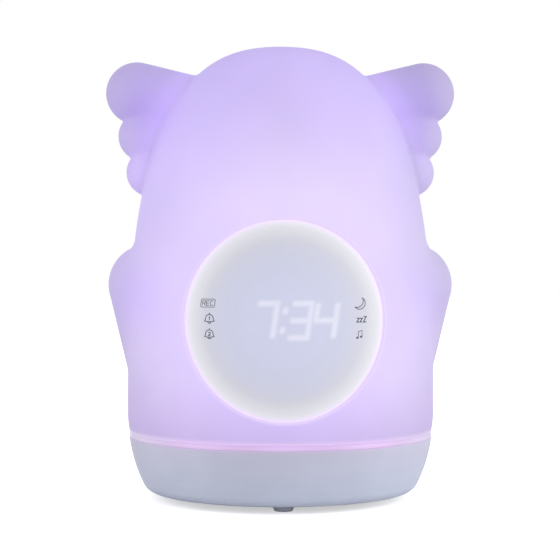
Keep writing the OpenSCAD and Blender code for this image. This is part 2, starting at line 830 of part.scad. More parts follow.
module speaker_cone() {
    crest_r = speaker_cone_r - surround_w;
    fold_r = crest_r - surround_w;
    color("#2c2c30") translate([0, speaker_y, speaker_seat_z]) rotate_extrude() polygon([
        [0, 2.6], [dust_cap_r, 3], [voice_coil_r, 4.2], [fold_r, 0.6], [crest_r, 0.2],
        [speaker_cone_r, 0.4], [speaker_cone_r, 0.4 + cone_t], [crest_r, 0.2 + cone_t],
        [fold_r, 0.6 + cone_t], [voice_coil_r, 4.2 + cone_t], [voice_coil_r, voice_coil_top],
        [voice_coil_r - 1, voice_coil_top], [voice_coil_r - 1, 4.6],
        [dust_cap_r, 3 + cone_t], [0, 2.6 + cone_t]
    ]);
}

module speaker_magnet() {
    color("#5a5d63") bar_z(0, speaker_y, magnet_z, magnet_top, magnet_r);
}

module main_board() {
    depth = main_board_y[1] - main_board_y[0];
    color(board_green) difference() {
        translate([0, (main_board_y[0] + main_board_y[1]) / 2, main_board_z])
            linear_extrude(board_t) polygon(round_rect([2 * main_board_half_w, depth], 3));
        for (p = main_post_xy)
            bar_z(p[0], p[1], main_board_z - 1, main_board_top + 1, small_screw_r + screw_gap);
    }
}

// Chips, a crystal can, two capacitors and a connector on top of the main board.
module main_board_chips() {
    color("#26272b") {
        for (c = [[-12, 4, 7, 7, 1], [8, -12, 5, 6, 1.2], [22, 6, 4, 5, 1.2], [-26, -14, 8, 5, 1.4]])
            box_between([c[0], c[1], main_board_top], [c[0] + c[2], c[1] + c[3], main_board_top + c[4]]);
        for (x = [26, 32]) bar_z(x, -16, main_board_top, main_board_top + 2.6, 2);
        box_between([-30, 12, main_board_top], [-24, 16, main_board_top + 2.4]);
    }
}

module main_board_screws() {
    color(steel) for (p = main_post_xy)
        screw_up(p[0], p[1], main_board_z - small_head_h,
            small_head_r, small_head_h, small_screw_r, board_t + 3);
}

module tap_sensor() {
    color("#c9a24b") bar_z(tap_sensor_x, 0, seam_z - 0.5, seam_z, tap_sensor_r);
}

module key_board() {
    mid_z = (key_board_bottom_z + key_board_top_z) / 2;
    color(board_green) difference() {
        plate_y(0, mid_z, [2 * key_board_half_w, key_board_top_z - key_board_bottom_z], 1.5,
            key_board_back_y, key_board_y);
        for (x = [-1, 1])
            bar_y(x * key_board_screw_x, key_board_screw_z, key_board_back_y - 1, key_board_y + 1,
                small_screw_r + screw_gap);
    }
}

module tact_switches() {
    color("#303238") for (x = key_x) {
        box_between([x - tact_switch_w / 2, key_board_y, key_row_z - tact_switch_w / 2],
            [x + tact_switch_w / 2, plunger_y - 0.6, key_row_z + tact_switch_w / 2]);
        bar_y(x, key_row_z, plunger_y - 1, plunger_y, key_stem_r);
    }
}

module key_board_screws() {
    color(steel) for (x = [-1, 1]) {
        bar_y(x * key_board_screw_x, key_board_screw_z, key_board_back_y - small_head_h,
            key_board_back_y, small_head_r);
        bar_y(x * key_board_screw_x, key_board_screw_z, key_board_back_y - small_head_h / 2,
            panel_inner_y - 0.5, small_screw_r);
    }
}

module usb_socket() {
    inner = usb_size - [2 * usb_wall, 2 * usb_wall];
    color(steel) {
        difference() {
            plate_y(0, socket_row_z, usb_size, usb_corner_r, key_board_y, usb_mouth_y);
            plate_y(0, socket_row_z, inner, usb_corner_r - usb_wall, key_board_y + 1.2, usb_mouth_y + 1);
        }
        box_between([-3.3, key_board_y + 1, socket_row_z - 0.35],
            [3.3, usb_mouth_y - 1, socket_row_z + 0.35]);
    }
}

module microphone() {
    color("#c8c9cc")
        bar_y(microphone_x, socket_row_z, key_board_y, key_board_y + microphone_h, microphone_r);
}

module microphone_boot() {
    color("#33343a") difference() {
        bar_y(microphone_x, socket_row_z, key_board_y, panel_inner_y, microphone_r + 0.6);
        bar_y(microphone_x, socket_row_z, key_board_y - 1, key_board_y + microphone_h, microphone_r);
        bar_y(microphone_x, socket_row_z, key_board_y, panel_inner_y + 1, sound_hole_r);
    }
}

module switch_body() {
    color("#303238") difference() {
        box_between(
            [switch_x - switch_body_size[0] / 2, key_board_y, socket_row_z - switch_body_size[1] / 2],
            [switch_x + switch_body_size[0] / 2, switch_front_y, socket_row_z + switch_body_size[1] / 2]);
        switch_slot(switch_front_y - switch_depth - moving_gap, switch_front_y + 1);
    }
}

// The stem reaches from the switch body through the slot to a small finger pad.
module switch_knob() {
    x = switch_x - switch_travel / 2;
    half = switch_stem / 2;
    color("#8f93a1") {
        box_between([x - half, switch_front_y - switch_depth, socket_row_z - half],
            [x + half, key_face_y, socket_row_z + half]);
        box_between([x - half - 0.6, panel_y + moving_gap, socket_row_z - half - 0.6],
            [x + half + 0.6, key_face_y, socket_row_z + half + 0.6]);
    }
}

// One round key: a cap through the panel, a flange that keeps it in, and a stem.
module round_key(i) {
    z = key_row_z;
    round_edge = 0.5;
    color("#b9b6d2") translate([key_x[i], 0, z]) rotate([-90, 0, 0]) rotate_extrude() polygon([
        [0, key_stem_y], [key_stem_r, key_stem_y], [key_stem_r, key_flange_front_y],
        [key_flange_r, key_flange_front_y], [key_flange_r, key_flange_back_y],
        [key_d / 2, key_flange_back_y], [key_d / 2, key_face_y - round_edge],
        [key_d / 2 - round_edge, key_face_y], [0, key_face_y]
    ]);
}

module key_alarm_1() round_key(5);
module key_alarm_2() round_key(4);
module key_record() round_key(3);
module key_light() round_key(2);
module key_minus() round_key(1);
module key_plus() round_key(0);

// Every second cell lies the other way round.
module each_cell() {
    for (i = [0:2]) translate([0, cell_y[i], cell_z]) rotate([0, 90, 180 * (i % 2)]) children();
}

module battery_cells() {
    body_end = bay_half_l - contact_t - cell_nub;
    color("#e0b23c") each_cell() {
        translate([0, 0, body_end - cell_body]) cylinder(h = cell_body, r = cell_r);
        translate([0, 0, body_end]) cylinder(h = cell_nub, r = cell_nub_r);
    }
}

module battery_springs() {
    color(steel) each_cell() translate([0, 0, contact_t - bay_half_l])
        cylinder(h = spring_l, r1 = spring_wide_r, r2 = spring_narrow_r);
}

module battery_contacts() {
    color(steel) for (y = cell_y, side = [-1, 1])
        translate([side * (bay_half_l - contact_t / 2), y, cell_z])
            cube([contact_t, contact_w, contact_w], center = true);
}

// The plate that closes the battery bay, with its hinge barrel and its screw tab.
module battery_door() {
    color(base_lilac) difference() {
        union() {
            box_between([-door_half_l, door_front_y, base_bottom_z],
                [door_half_l, hinge_y, base_bottom_z + door_t]);
            translate([-door_half_l, hinge_y, hinge_z]) rotate([0, 90, 0])
                cylinder(h = 2 * door_half_l, r = hinge_r);
            translate([-bay_half_l - hinge_pin_l, hinge_y, hinge_z]) rotate([0, 90, 0])
                cylinder(h = 2 * (bay_half_l + hinge_pin_l), r = hinge_pin_r);
            box_between([tab_x - tab_half_w, door_front_y - tab_reach, base_bottom_z],
                [tab_x + tab_half_w, door_front_y + 1, base_bottom_z + door_t]);
        }
        bar_z(tab_x, door_screw_y, base_bottom_z - 1, base_bottom_z + door_t + 1,
            small_screw_r + moving_gap);
        bar_z(tab_x, door_screw_y, base_bottom_z - 1, base_bottom_z + door_head_h + 0.1,
            small_head_r + moving_gap);
    }
}

module battery_door_screw() {
    color(steel) screw_up(tab_x, door_screw_y, base_bottom_z + 0.1,
        small_head_r, door_head_h, small_screw_r, door_screw_l);
}

module display_ribbon() {
    half_w = display_ribbon_w / 2;
    half_t = ribbon_t / 2;
    color("#c9c9cf") {
        box_between([-half_w, display_board_y, display_ribbon_z - half_t],
            [half_w, display_ribbon_y + half_t, display_ribbon_z + half_t]);
        box_between([-half_w, display_ribbon_y - half_t, main_board_top],
            [half_w, display_ribbon_y + half_t, display_ribbon_z + half_t]);
    }
}

module key_ribbon() {
    color("#c9c9cf") box_between([-key_ribbon_half_w, main_board_y[1] - 4, main_board_z - ribbon_t],
        [key_ribbon_half_w, key_board_back_y, main_board_z]);
}

// The upright slot that lets the glow ribbon through the deck.
module glow_ribbon_slot(z0, z1) {
    box_between([-glow_ribbon_half_w - 1, glow_ribbon_y - ribbon_slot_t / 2, z0],
        [glow_ribbon_half_w + 1, glow_ribbon_y + ribbon_slot_t / 2, z1]);
}

module glow_ribbon() {
    color("#c9c9cf") box_between(
        [-glow_ribbon_half_w, glow_ribbon_y - ribbon_t / 2, main_board_top],
        [glow_ribbon_half_w, glow_ribbon_y + ribbon_t / 2, glow_board_z]);
}

module speaker_wires() {
    color("crimson") for (y = [-1.5, 1.5])
        bar_z(speaker_r - 0.6, speaker_y + y, speaker_seat_z + speaker_lip_t, main_board_z, 0.5);
}

module battery_wires() {
    color("crimson") for (y = [-9.5, -6.5]) bar_z(-20, y, bay_roof, main_board_z, 0.6);
}

shade();
display_window();
display_cup();
segment_mask();
segment_film();
segment_leds();
display_board();
display_board_screws();
display_stand();
stand_screws();
halo_board();
halo_leds();
halo_board_screws();
glow_board();
glow_leds();
glow_board_screws();
clamp_ring();
ring_screws();
light_deck();
base_housing();
bottom_cover();
bottom_screws();
rubber_feet();
speaker_gasket();
speaker_frame();
speaker_cone();
speaker_magnet();
main_board();
main_board_chips();
main_board_screws();
tap_sensor();
key_board();
tact_switches();
key_board_screws();
usb_socket();
microphone();
microphone_boot();
switch_body();
switch_knob();
key_alarm_1();
key_alarm_2();
key_record();
key_light();
key_minus();
key_plus();
battery_cells();
battery_springs();
battery_contacts();
battery_door();
battery_door_screw();
display_ribbon();
key_ribbon();
glow_ribbon();
speaker_wires();
battery_wires();
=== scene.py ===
import json
import math
from itertools import product

import bmesh
import bpy
import numpy as np
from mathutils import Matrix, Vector


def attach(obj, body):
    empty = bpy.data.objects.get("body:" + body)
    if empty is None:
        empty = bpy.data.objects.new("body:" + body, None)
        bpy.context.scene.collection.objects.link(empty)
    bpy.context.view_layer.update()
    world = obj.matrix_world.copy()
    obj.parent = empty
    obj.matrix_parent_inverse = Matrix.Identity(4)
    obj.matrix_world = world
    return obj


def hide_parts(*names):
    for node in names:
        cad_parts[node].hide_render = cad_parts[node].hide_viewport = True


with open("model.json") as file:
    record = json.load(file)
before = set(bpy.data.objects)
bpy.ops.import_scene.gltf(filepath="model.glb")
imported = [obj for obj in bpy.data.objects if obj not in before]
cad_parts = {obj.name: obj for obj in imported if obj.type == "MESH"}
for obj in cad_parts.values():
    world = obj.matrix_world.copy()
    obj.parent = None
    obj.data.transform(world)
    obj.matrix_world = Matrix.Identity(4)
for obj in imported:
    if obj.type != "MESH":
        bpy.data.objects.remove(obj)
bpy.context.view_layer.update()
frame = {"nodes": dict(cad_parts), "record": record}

MM = 0.001
# Edges sharper than this stay sharp in a smooth mesh.
SHARP_ANGLE = math.radians(35)
SHARP_SCREW_ANGLE = math.radians(30)


# ---------------------------------------------------------------- colours and nodes

def linear(code, share=1.0):
    """An sRGB hex colour as linear RGBA, with its brightness multiplied by share."""
    channels = [int(code[i:i + 2], 16) / 255 for i in (0, 2, 4)]
    return [share * (c / 12.92 if c < 0.04045 else ((c + 0.055) / 1.055) ** 2.4) for c in channels] + [1.0]


def add(tree, kind, inputs=None, stops=(), **settings):
    """Adds a node, gives it its settings and ramp stops, and sets or links its inputs by name or number."""
    node = tree.nodes.new(kind)
    for name, value in settings.items():
        setattr(node, name, value)
    for key, value in (inputs or {}).items():
        if isinstance(value, bpy.types.Node):
            value = next(socket for socket in value.outputs if socket.enabled)
        if isinstance(value, bpy.types.NodeSocket):
            tree.links.new(value, node.inputs[key])
        else:
            node.inputs[key].default_value = value
    for i, (position, colour) in enumerate(stops):
        elements = node.color_ramp.elements
        element = elements[i] if i < 2 else elements.new(position)
        element.position = position
        element.color = colour if isinstance(colour, (list, tuple)) else linear(colour)
    return node


def new_material(name):
    """An empty node material, its tree and the object's own coordinates."""
    material = bpy.data.materials.new(name)
    material.use_nodes = True
    tree = material.node_tree
    tree.nodes.clear()
    return material, tree, add(tree, "ShaderNodeTexCoord").outputs["Object"]


# ---------------------------------------------------------------- meshes

def make_piece(name, points, faces, material, slot, body="root", replaces=()):
    """A mesh piece from points in millimetres, in place in the frame."""
    mesh = bpy.data.meshes.new(name)
    mesh.from_pydata([[c * MM for c in p] for p in points], [], [list(map(int, f)) for f in faces])
    mesh.validate()
    work = bmesh.new()
    work.from_mesh(mesh)
    bmesh.ops.remove_doubles(work, verts=work.verts, dist=1e-7)
    bmesh.ops.recalc_face_normals(work, faces=work.faces)
    work.to_mesh(mesh)
    work.free()
    mesh.shade_smooth()
    mesh.set_sharp_from_angle(angle=SHARP_ANGLE)
    mesh.materials.append(material)
    place_piece(name, mesh, body, slot, replaces)


def place_piece(name, mesh, body, slot, replaces=()):
    """Puts a finished mesh into the scene, hangs it on the empty of its body and hides the CAD parts that it
    stands for.
    """
    piece = bpy.data.objects.new(name, mesh)
    bpy.context.scene.collection.objects.link(piece)
    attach(piece, body)
    if replaces:
        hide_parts(*replaces)


# ---------------------------------------------------------------- the silicone body

# Measures in millimetres, unless they say otherwise. The body is a dome over its foot, with these powers.
HEAD_TOP = 188.2
BODY_R = 64.0
SHADE_FOOT = 28.0
DOME_H = HEAD_TOP - SHADE_FOOT
POWER_R = 2.6
POWER_Z = 3.05
# How far the foot draws in, and over what height.
TUCK = 0.9
TUCK_H = 8.0
SHADE_WALL = 2.0
FLANGE_R = 50.0
FLANGE_TOP = 30.0
SEAM_Z = 26.0
WINDOW_R = 38.6
WINDOW_Z = 76.4
HOLE_R = 39.2

# Limbs as (x, z, radius) of the tip and of the root, on the +X side. The gills run from the top down.
GILLS = (((59.9, 169.1, 13.0), (34.6, 163.0, 13.0)),
         ((57.5, 151.2, 10.3), (39.5, 149.2, 10.3)),
         ((54.6, 136.1, 9.9), (36.6, 136.1, 9.9)))
ARM = ((55.1, 89.3, 16.9), (61.0, 53.8, 3.0))
# The softness of the limbs' root lines in the middle plane, and what it gains in front of and behind it:
# up to MELT, and half of that where y squared is MELT_REACH. Gills gain only a share of it, towards each
# other and towards the body, and a little more on the crown.
LIMB_SOFTNESS = 0.3
MELT = 9
MELT_REACH = 50
GILL_TO_GILL_MELT = 0.6
GILL_MELT = 0.22
CROWN_SOFTNESS = 0.8
CROWN_Z = 150
CROWN_RISE = 15

# The table of distances to the body's profile: its cell, lowest height and size.
PROFILE_STEP = 0.5
PROFILE_LOW = 16.0
PROFILE_HIGH = 200
PROFILE_R = 84
# Points along the profile's arch and along its drawn-in foot.
ARCH_POINTS = 160
FOOT_POINTS = 12
# The box in which the animal's surface is found, and the cells for it, outside and inside.
NET_LOW = (-76, -68, 20)
NET_HIGH = (76, 68, 192)
NET_STEP = 1.25
INNER_NET_STEP = 2.4
# How often the net's corners move onto the surface, and over what distance a slope is taken.
NET_POLISHES = 4
SLOPE_REACH = 0.05


def body_radius(z):
    """Radius of the body without gills and arms at height z."""
    up = np.clip((np.asarray(z, float) - SHADE_FOOT) / DOME_H, 0, 1)
    tuck = TUCK * np.clip((SHADE_FOOT + TUCK_H - z) / TUCK_H, 0, 1) ** 2
    return BODY_R * (1 - up ** POWER_Z) ** (1 / POWER_R) - tuck


def body_front(x, z):
    """The y of the front of the body, at x and z."""
    return -np.sqrt(np.maximum(body_radius(z) ** 2 - np.asarray(x, float) ** 2, 0))


def profile_distances():
    """Signed distances to the body's profile on a grid of (radius, height)."""
    angle = np.linspace(0, math.pi / 2, ARCH_POINTS)
    arch = np.stack([BODY_R * np.cos(angle) ** (2 / POWER_R),
                     SHADE_FOOT + DOME_H * np.sin(angle) ** (2 / POWER_Z)], 1)
    fine = np.linspace(SHADE_FOOT, SHADE_FOOT + TUCK_H, FOOT_POINTS)
    arch = arch[arch[:, 1] > fine[-1]]
    # Below the foot the profile runs straight down, past the table.
    below = [[body_radius(SHADE_FOOT), PROFILE_LOW - 10]]
    line = np.concatenate([below, np.stack([body_radius(fine), fine], 1), arch])
    r, z = np.meshgrid(np.arange(0, PROFILE_R, PROFILE_STEP),
                       np.arange(PROFILE_LOW, PROFILE_HIGH, PROFILE_STEP), indexing="ij")
    points = np.stack([r.ravel(), z.ravel()], 1)
    best = np.full(len(points), 1e9)
    for a, b in zip(line[:-1], line[1:]):
        ab = b - a
        along = np.clip((points - a) @ ab / (ab @ ab), 0, 1)
        best = np.minimum(best, np.hypot(*(points - a - along[:, None] * ab).T))
    inside = (points[:, 0] < body_radius(np.maximum(points[:, 1], SHADE_FOOT))) & (points[:, 1] < HEAD_TOP)
    return np.where(inside, -best, best).reshape(r.shape)


PROFILE = profile_distances()


def body_distance(p):
    """Signed distance to the body without gills and arms, read between the cells of the profile's table."""
    # Just short of the last cell, so that there is always a next one.
    last = 1.001
    u = np.clip(np.hypot(p[:, 0], p[:, 1]) / PROFILE_STEP, 0, PROFILE.shape[0] - last)
    v = np.clip((p[:, 2] - PROFILE_LOW) / PROFILE_STEP, 0, PROFILE.shape[1] - last)
    i, j = u.astype(int), v.astype(int)
    s, t = u - i, v - j
    return ((PROFILE[i, j] * (1 - s) + PROFILE[i + 1, j] * s) * (1 - t)
            + (PROFILE[i, j + 1] * (1 - s) + PROFILE[i + 1, j + 1] * s) * t)


def limb_distance(p, tip, root):
    """Distance to a limb with round ends of different radius, on the +X side."""
    a = np.array([tip[0], 0, tip[1]])
    ba = np.array([root[0] - tip[0], 0, root[1] - tip[1]])
    length2 = ba @ ba
    shrink = tip[2] - root[2]
    pa = p - a
    y = pa @ ba
    z = y - length2
    x2 = ((pa * length2 - y[:, None] * ba) ** 2).sum(1)
    edge = np.sign(shrink) * shrink ** 2 * x2
    side = (np.sqrt(x2 * (length2 - shrink ** 2) / length2) + y * shrink) / length2 - tip[2]
    far = np.sqrt(x2 + z * z * length2) / length2 - root[2]
    near = np.sqrt(x2 + y * y * length2) / length2 - tip[2]
    a2 = length2 - shrink ** 2
    return np.where(np.sign(z) * a2 * z * z * length2 > edge, far,
                    np.where(np.sign(y) * a2 * y * y * length2 < edge, near, side))


def soft_union(a, b, softness):
    """Distance to two forms in one, with the crease between them filled."""
    overlap = np.maximum(softness - np.abs(a - b), 0) / softness
    return np.minimum(a, b) - overlap ** 2 * softness / 4


def animal_distance(p):
    """Signed distance to the whole animal; the limbs melt into the body towards front and back."""
    crown = np.clip((p[:, 2] - CROWN_Z) / CROWN_RISE, 0, 1)
    melt = MELT * p[:, 1] ** 2 / (p[:, 1] ** 2 + MELT_REACH)
    q = np.concatenate([np.abs(p[:, :1]), p[:, 1:]], 1)
    body = soft_union(body_distance(q), limb_distance(q, *ARM), LIMB_SOFTNESS + melt)
    gills = limb_distance(q, *GILLS[0])
    for gill in GILLS[1:]:
        gills = soft_union(gills, limb_distance(q, *gill), LIMB_SOFTNESS + GILL_TO_GILL_MELT * melt)
    return soft_union(body, gills, LIMB_SOFTNESS + CROWN_SOFTNESS * crown + GILL_MELT * melt)


def slope(points, level_of):
    """Gradient of a distance function."""
    sides = []
    for axis in range(3):
        shift = np.zeros(3)
        shift[axis] = SLOPE_REACH
        sides.append((level_of(points + shift) - level_of(points - shift)) / (2 * SLOPE_REACH))
    return np.stack(sides, 1)


def surface_net(level_of, low, high, step):
    """Quads on the zero level of a distance function, with their corners moved onto it."""
    axes = [np.arange(a, b + step, step) for a, b in zip(low, high)]
    shape = [len(a) for a in axes]
    grid = np.stack(np.meshgrid(*axes, indexing="ij"), -1).reshape(-1, 3)
    # In parts, to spare memory.
    value = np.concatenate([level_of(part) for part in np.array_split(grid, 24)]).reshape(shape)
    inside = value < 0
    corners = list(product((0, 1), repeat=3))

    def corner(array, c):
        return array[tuple(slice(k, n - 1 + k) for k, n in zip(c, shape))]

    count = sum(corner(inside, c).astype(int) for c in corners)
    mixed = (count > 0) & (count < len(corners))
    index = np.full(mixed.shape, -1)
    index[mixed] = np.arange(mixed.sum())
    cells = np.argwhere(mixed)
    level = {c: value[tuple((cells + c).T)] for c in corners}
    total = np.zeros((len(cells), 3))
    hits = np.zeros(len(cells))
    for a, b in product(corners, repeat=2):
        if a < b and sum(abs(m - n) for m, n in zip(a, b)) == 1:
            fa, fb = level[a], level[b]
            cross = (fa < 0) != (fb < 0)
            t = np.where(cross, fa / np.where(cross, fa - fb, 1), 0)
            place = np.array(a) + t[:, None] * (np.array(b) - np.array(a))
            total += place * cross[:, None]
            hits += cross
    points = (cells + total / hits[:, None]) * step + np.array(low)
    steepness_floor = 0.25
    for _ in range(NET_POLISHES):
        g = slope(points, level_of)
        points -= (level_of(points) / np.maximum((g * g).sum(1), steepness_floor))[:, None] * g

    faces = []
    for axis in range(3):
        u, v = [k for k in range(3) if k != axis]
        first = inside[tuple(slice(0, -1) if k == axis else slice(1, -1) for k in range(3))]
        second = inside[tuple(slice(1, None) if k == axis else slice(1, -1) for k in range(3))]
        for here, flip in ((first & ~second, axis == 1), (second & ~first, axis != 1)):
            base = np.argwhere(here)
            if not len(base):
                continue
            base[:, u] += 1
            base[:, v] += 1
            around = []
            for du, dv in ((0, 0), (-1, 0), (-1, -1), (0, -1)):
                cell = base.copy()
                cell[:, u] += du
                cell[:, v] += dv
                around.append(index[tuple(cell.T)])
            quad = np.stack(around, 1)
            faces.append(quad[:, ::-1] if flip else quad)
    return points, np.concatenate(faces)


def open_edge(faces):
    """Loops of vertices along the open edges of a set of faces, in face order."""
    following = {}
    seen = set()
    for f in faces:
        for a, b in zip(f, np.roll(f, -1)):
            seen.add((int(a), int(b)))
    for a, b in seen:
        if (b, a) not in seen:
            following[a] = b
    loops = []
    while following:
        start = next(iter(following))
        loop = [start]
        step = following.pop(start)
        while step != start:
            loop.append(step)
            step = following.pop(step)
        loops.append(loop)
    return loops


def zip_loops(first, second, angle_of):
    """Triangles between two closed loops of vertices that run the same way round an axis."""
    def from_lowest(loop):
        k = min(range(len(loop)), key=lambda n: angle_of(loop[n]))
        return loop[k:] + loop[:k]

    faces = []
    a, b = from_lowest(first), from_lowest(second)
    ia = ib = 0
    angles_a = [angle_of(v) for v in a] + [angle_of(a[0]) + 2 * math.pi]
    angles_b = [angle_of(v) for v in b] + [angle_of(b[0]) + 2 * math.pi]
    while ia < len(a) or ib < len(b):
        va, vb = a[ia % len(a)], b[ib % len(b)]
        if ib >= len(b) or (ia < len(a) and angles_a[ia + 1] < angles_b[ib + 1]):
            ia += 1
            faces.append((va, a[ia % len(a)], vb))
        else:
            ib += 1
            faces.append((va, b[ib % len(b)], vb))
    return faces


# The nets stop this far short of the foot and of the hole; rings of vertices close the rest.
OUTER_FOOT_GAP = 1.2
OUTER_HOLE_GAP = 1.4
INNER_FOOT_GAP = 1.0
INNER_HOLE_GAP = 0.6
HOLE_SEGMENTS = 192
FOOT_SEGMENTS = 240
# The rounded lip of the hole, as (how much wider than the hole, how deep behind the body's front), and
# the rounded corner of the foot, as (how much narrower than the foot, how high over it).
HOLE_LIP = ((0.9, 0.0), (0.45, 0.12), (0.14, 0.42), (0.0, 0.9), (0.0, 2.3))
FOOT_CORNER = ((0.05, 0.15), (0.25, 0.0))
FOOT_CORNER_H = 0.7


def build_shade():
    """The hollow silicone body with its window hole and its foot flange."""
    step = NET_STEP
    points, quads = surface_net(animal_distance, NET_LOW, NET_HIGH, step)
    inner_points, inner_quads = surface_net(lambda p: animal_distance(p) + SHADE_WALL, NET_LOW, NET_HIGH,
                                            INNER_NET_STEP)

    def keep(points, quads, foot, hole):
        ring = np.hypot(points[:, 0], points[:, 2] - WINDOW_Z)
        gone = (points[:, 2] < foot) | ((ring < hole) & (points[:, 1] < 0))
        return quads[~gone[quads].any(1)]

    quads = keep(points, quads, SHADE_FOOT + OUTER_FOOT_GAP, HOLE_R + OUTER_HOLE_GAP)
    inner_quads = keep(inner_points, inner_quads, FLANGE_TOP + INNER_FOOT_GAP, HOLE_R + INNER_HOLE_GAP)
    every = [list(p) for p in points] + [list(p) for p in inner_points]
    faces = [list(q) for q in quads] + [list(q[::-1] + len(points)) for q in inner_quads]

    def ring(count, place):
        start = len(every)
        every.extend(place(2 * math.pi * i / count) for i in range(count))
        return list(range(start, start + count))

    def around_window(v):
        return math.atan2(every[v][2] - WINDOW_Z, every[v][0]) % (2 * math.pi)

    def around_axis(v):
        return math.atan2(every[v][1], every[v][0]) % (2 * math.pi)

    def hole_ring(radius, depth):
        def place(a):
            x, z = radius * math.cos(a), WINDOW_Z + radius * math.sin(a)
            return [x, float(body_front(x, z)) + depth, z]
        return ring(HOLE_SEGMENTS, place)

    def foot_ring(radius, z):
        return ring(FOOT_SEGMENTS, lambda a: [radius * math.cos(a), radius * math.sin(a), z])

    def join(rings, angle_of):
        for ring_a, ring_b in zip(rings[:-1], rings[1:]):
            faces.extend(zip_loops(ring_a, ring_b, angle_of))

    def rising(loop, angle_of):
        turn = sum(math.remainder(angle_of(b) - angle_of(a), 2 * math.pi) for a, b in zip(loop, loop[1:]))
        return loop if turn > 0 else loop[::-1]

    outer_loops = sorted(open_edge(quads), key=lambda loop: every[loop[0]][2])
    inner_loops = sorted(open_edge(inner_quads + len(points)), key=lambda loop: every[loop[0]][2])
    hole = [hole_ring(HOLE_R + wider, depth) for wider, depth in HOLE_LIP]
    join([rising(outer_loops[-1], around_window)] + hole + [rising(inner_loops[-1], around_window)],
         around_window)
    foot_r = float(body_radius(SHADE_FOOT))
    corner_z = SHADE_FOOT + FOOT_CORNER_H
    foot = [foot_ring(float(body_radius(corner_z)), corner_z)]
    foot += [foot_ring(foot_r - narrower, SHADE_FOOT + up) for narrower, up in FOOT_CORNER]
    foot += [foot_ring(FLANGE_R, SHADE_FOOT), foot_ring(FLANGE_R, FLANGE_TOP),
             foot_ring(foot_r - SHADE_WALL, FLANGE_TOP)]
    join([rising(outer_loops[0], around_axis)] + foot + [rising(inner_loops[0], around_axis)], around_axis)
    used = sorted({int(v) for f in faces for v in f})
    order = {v: i for i, v in enumerate(used)}
    return [every[v] for v in used], [[order[int(v)] for v in f] for f in faces]


WINDOW_SEGMENTS = 160
# Circles of vertices on its face and on its back, with the middle.
FACE_RINGS = 26
BACK_RINGS = 8
# The disc's face and its rounded rim, as (how much narrower than the disc, how deep), and its wall, which
# is a little thicker towards the rim.
WINDOW_RIM = ((0.25, 0.1), (0.05, 0.35), (0.0, 0.8), (0.0, 2.3))
WINDOW_FLAT_EDGE = 0.6
WINDOW_WALL = 2.0
WINDOW_WALL_GROWS = 0.4
WINDOW_BACK_R = 6


def build_window():
    """The milky disc in the hole, flush with the body, with a rounded edge."""
    count = WINDOW_SEGMENTS
    flat_r = WINDOW_R - WINDOW_FLAT_EDGE
    rings = [(r, 0.0) for r in np.linspace(0, flat_r, FACE_RINGS)[1:]]
    rings += [(WINDOW_R - narrower, depth) for narrower, depth in WINDOW_RIM]
    rings += [(r, WINDOW_WALL + WINDOW_WALL_GROWS * (r / WINDOW_R) ** 2)
              for r in np.linspace(flat_r, WINDOW_BACK_R, BACK_RINGS)]
    points = [[0, float(body_front(0, WINDOW_Z)), WINDOW_Z]]
    for radius, depth in rings:
        for i in range(count):
            a = 2 * math.pi * i / count
            x, z = radius * math.cos(a), WINDOW_Z + radius * math.sin(a)
            points.append([x, float(body_front(x, z)) + depth, z])
    points.append([0, float(body_front(0, WINDOW_Z)) + WINDOW_WALL, WINDOW_Z])
    faces = [(0, 1 + i, 1 + (i + 1) % count) for i in range(count)]
    last = len(rings) - 1
    for k in range(last):
        for i in range(count):
            a, b = 1 + k * count + i, 1 + k * count + (i + 1) % count
            faces.append((a, a + count, b + count, b))
    end = 1 + last * count
    faces += [(end + (i + 1) % count, end + i, len(points) - 1) for i in range(count)]
    return points, faces


BEAD_SEGMENTS = 240
# The bead's section, as (radius, height): a rounded rim between the foot of the body and the base.
BEAD_SECTION = ((62.3, 27.96), (62.75, 27.96), (62.98, 27.75), (63.08, 27.4), (63.14, 26.9), (63.16, 26.4),
                (63.12, 26.06), (62.3, 26.04))


def build_bead():
    """The rounded edge of the clear deck, which fills the seam between body and base nearly flush."""
    count, n = BEAD_SEGMENTS, len(BEAD_SECTION)
    points, faces = [], []
    for i in range(count):
        a = 2 * math.pi * i / count
        points += [[r * math.cos(a), r * math.sin(a), z] for r, z in BEAD_SECTION]
        faces += [(i * n + k, i * n + (k + 1) % n, (i + 1) % count * n + (k + 1) % n, (i + 1) % count * n + k)
                  for k in range(n)]
    return points, faces


# ---------------------------------------------------------------- lit silicone and window

# The colours of the night light and of the white lamps behind the window, in red, green and blue.
NIGHT_VIOLET = (0.366, 0.2, 1.0)
WARM_WHITE = (1.0, 0.916, 0.6)
# Places inside the body that its wall looks lit from, as (x, y, z, reach in millimetres, violet, white).
# Each is mirrored left to right and front to back, because the lamps stand in rings.
GLOWS = (
    (2.2, 37.9, 115.5, 22.0, 0.0, 0.44),
    (19.1, 16.4, 148.3, 62.7, 0.504, 0.0),
    (0.0, 22.5, 63.6, 18.9, 2.78, 1.69),
    (3.6, 27.7, 177.6, 15.6, 0.105, 0.045),
)
# The share of its colour that the silicone shows to other light, because much of it is its own glow.
SILICONE_SHARE = 0.3
# Middles of the arms and gills, as (x, z), how far round them the glow changes, and what that adds to it.
LIMB_MIDDLES = ((58, 84), (56, 165))
LIMB_REACH = 22
LIMB_SHIFT = (-0.014, -0.03, 0.06)
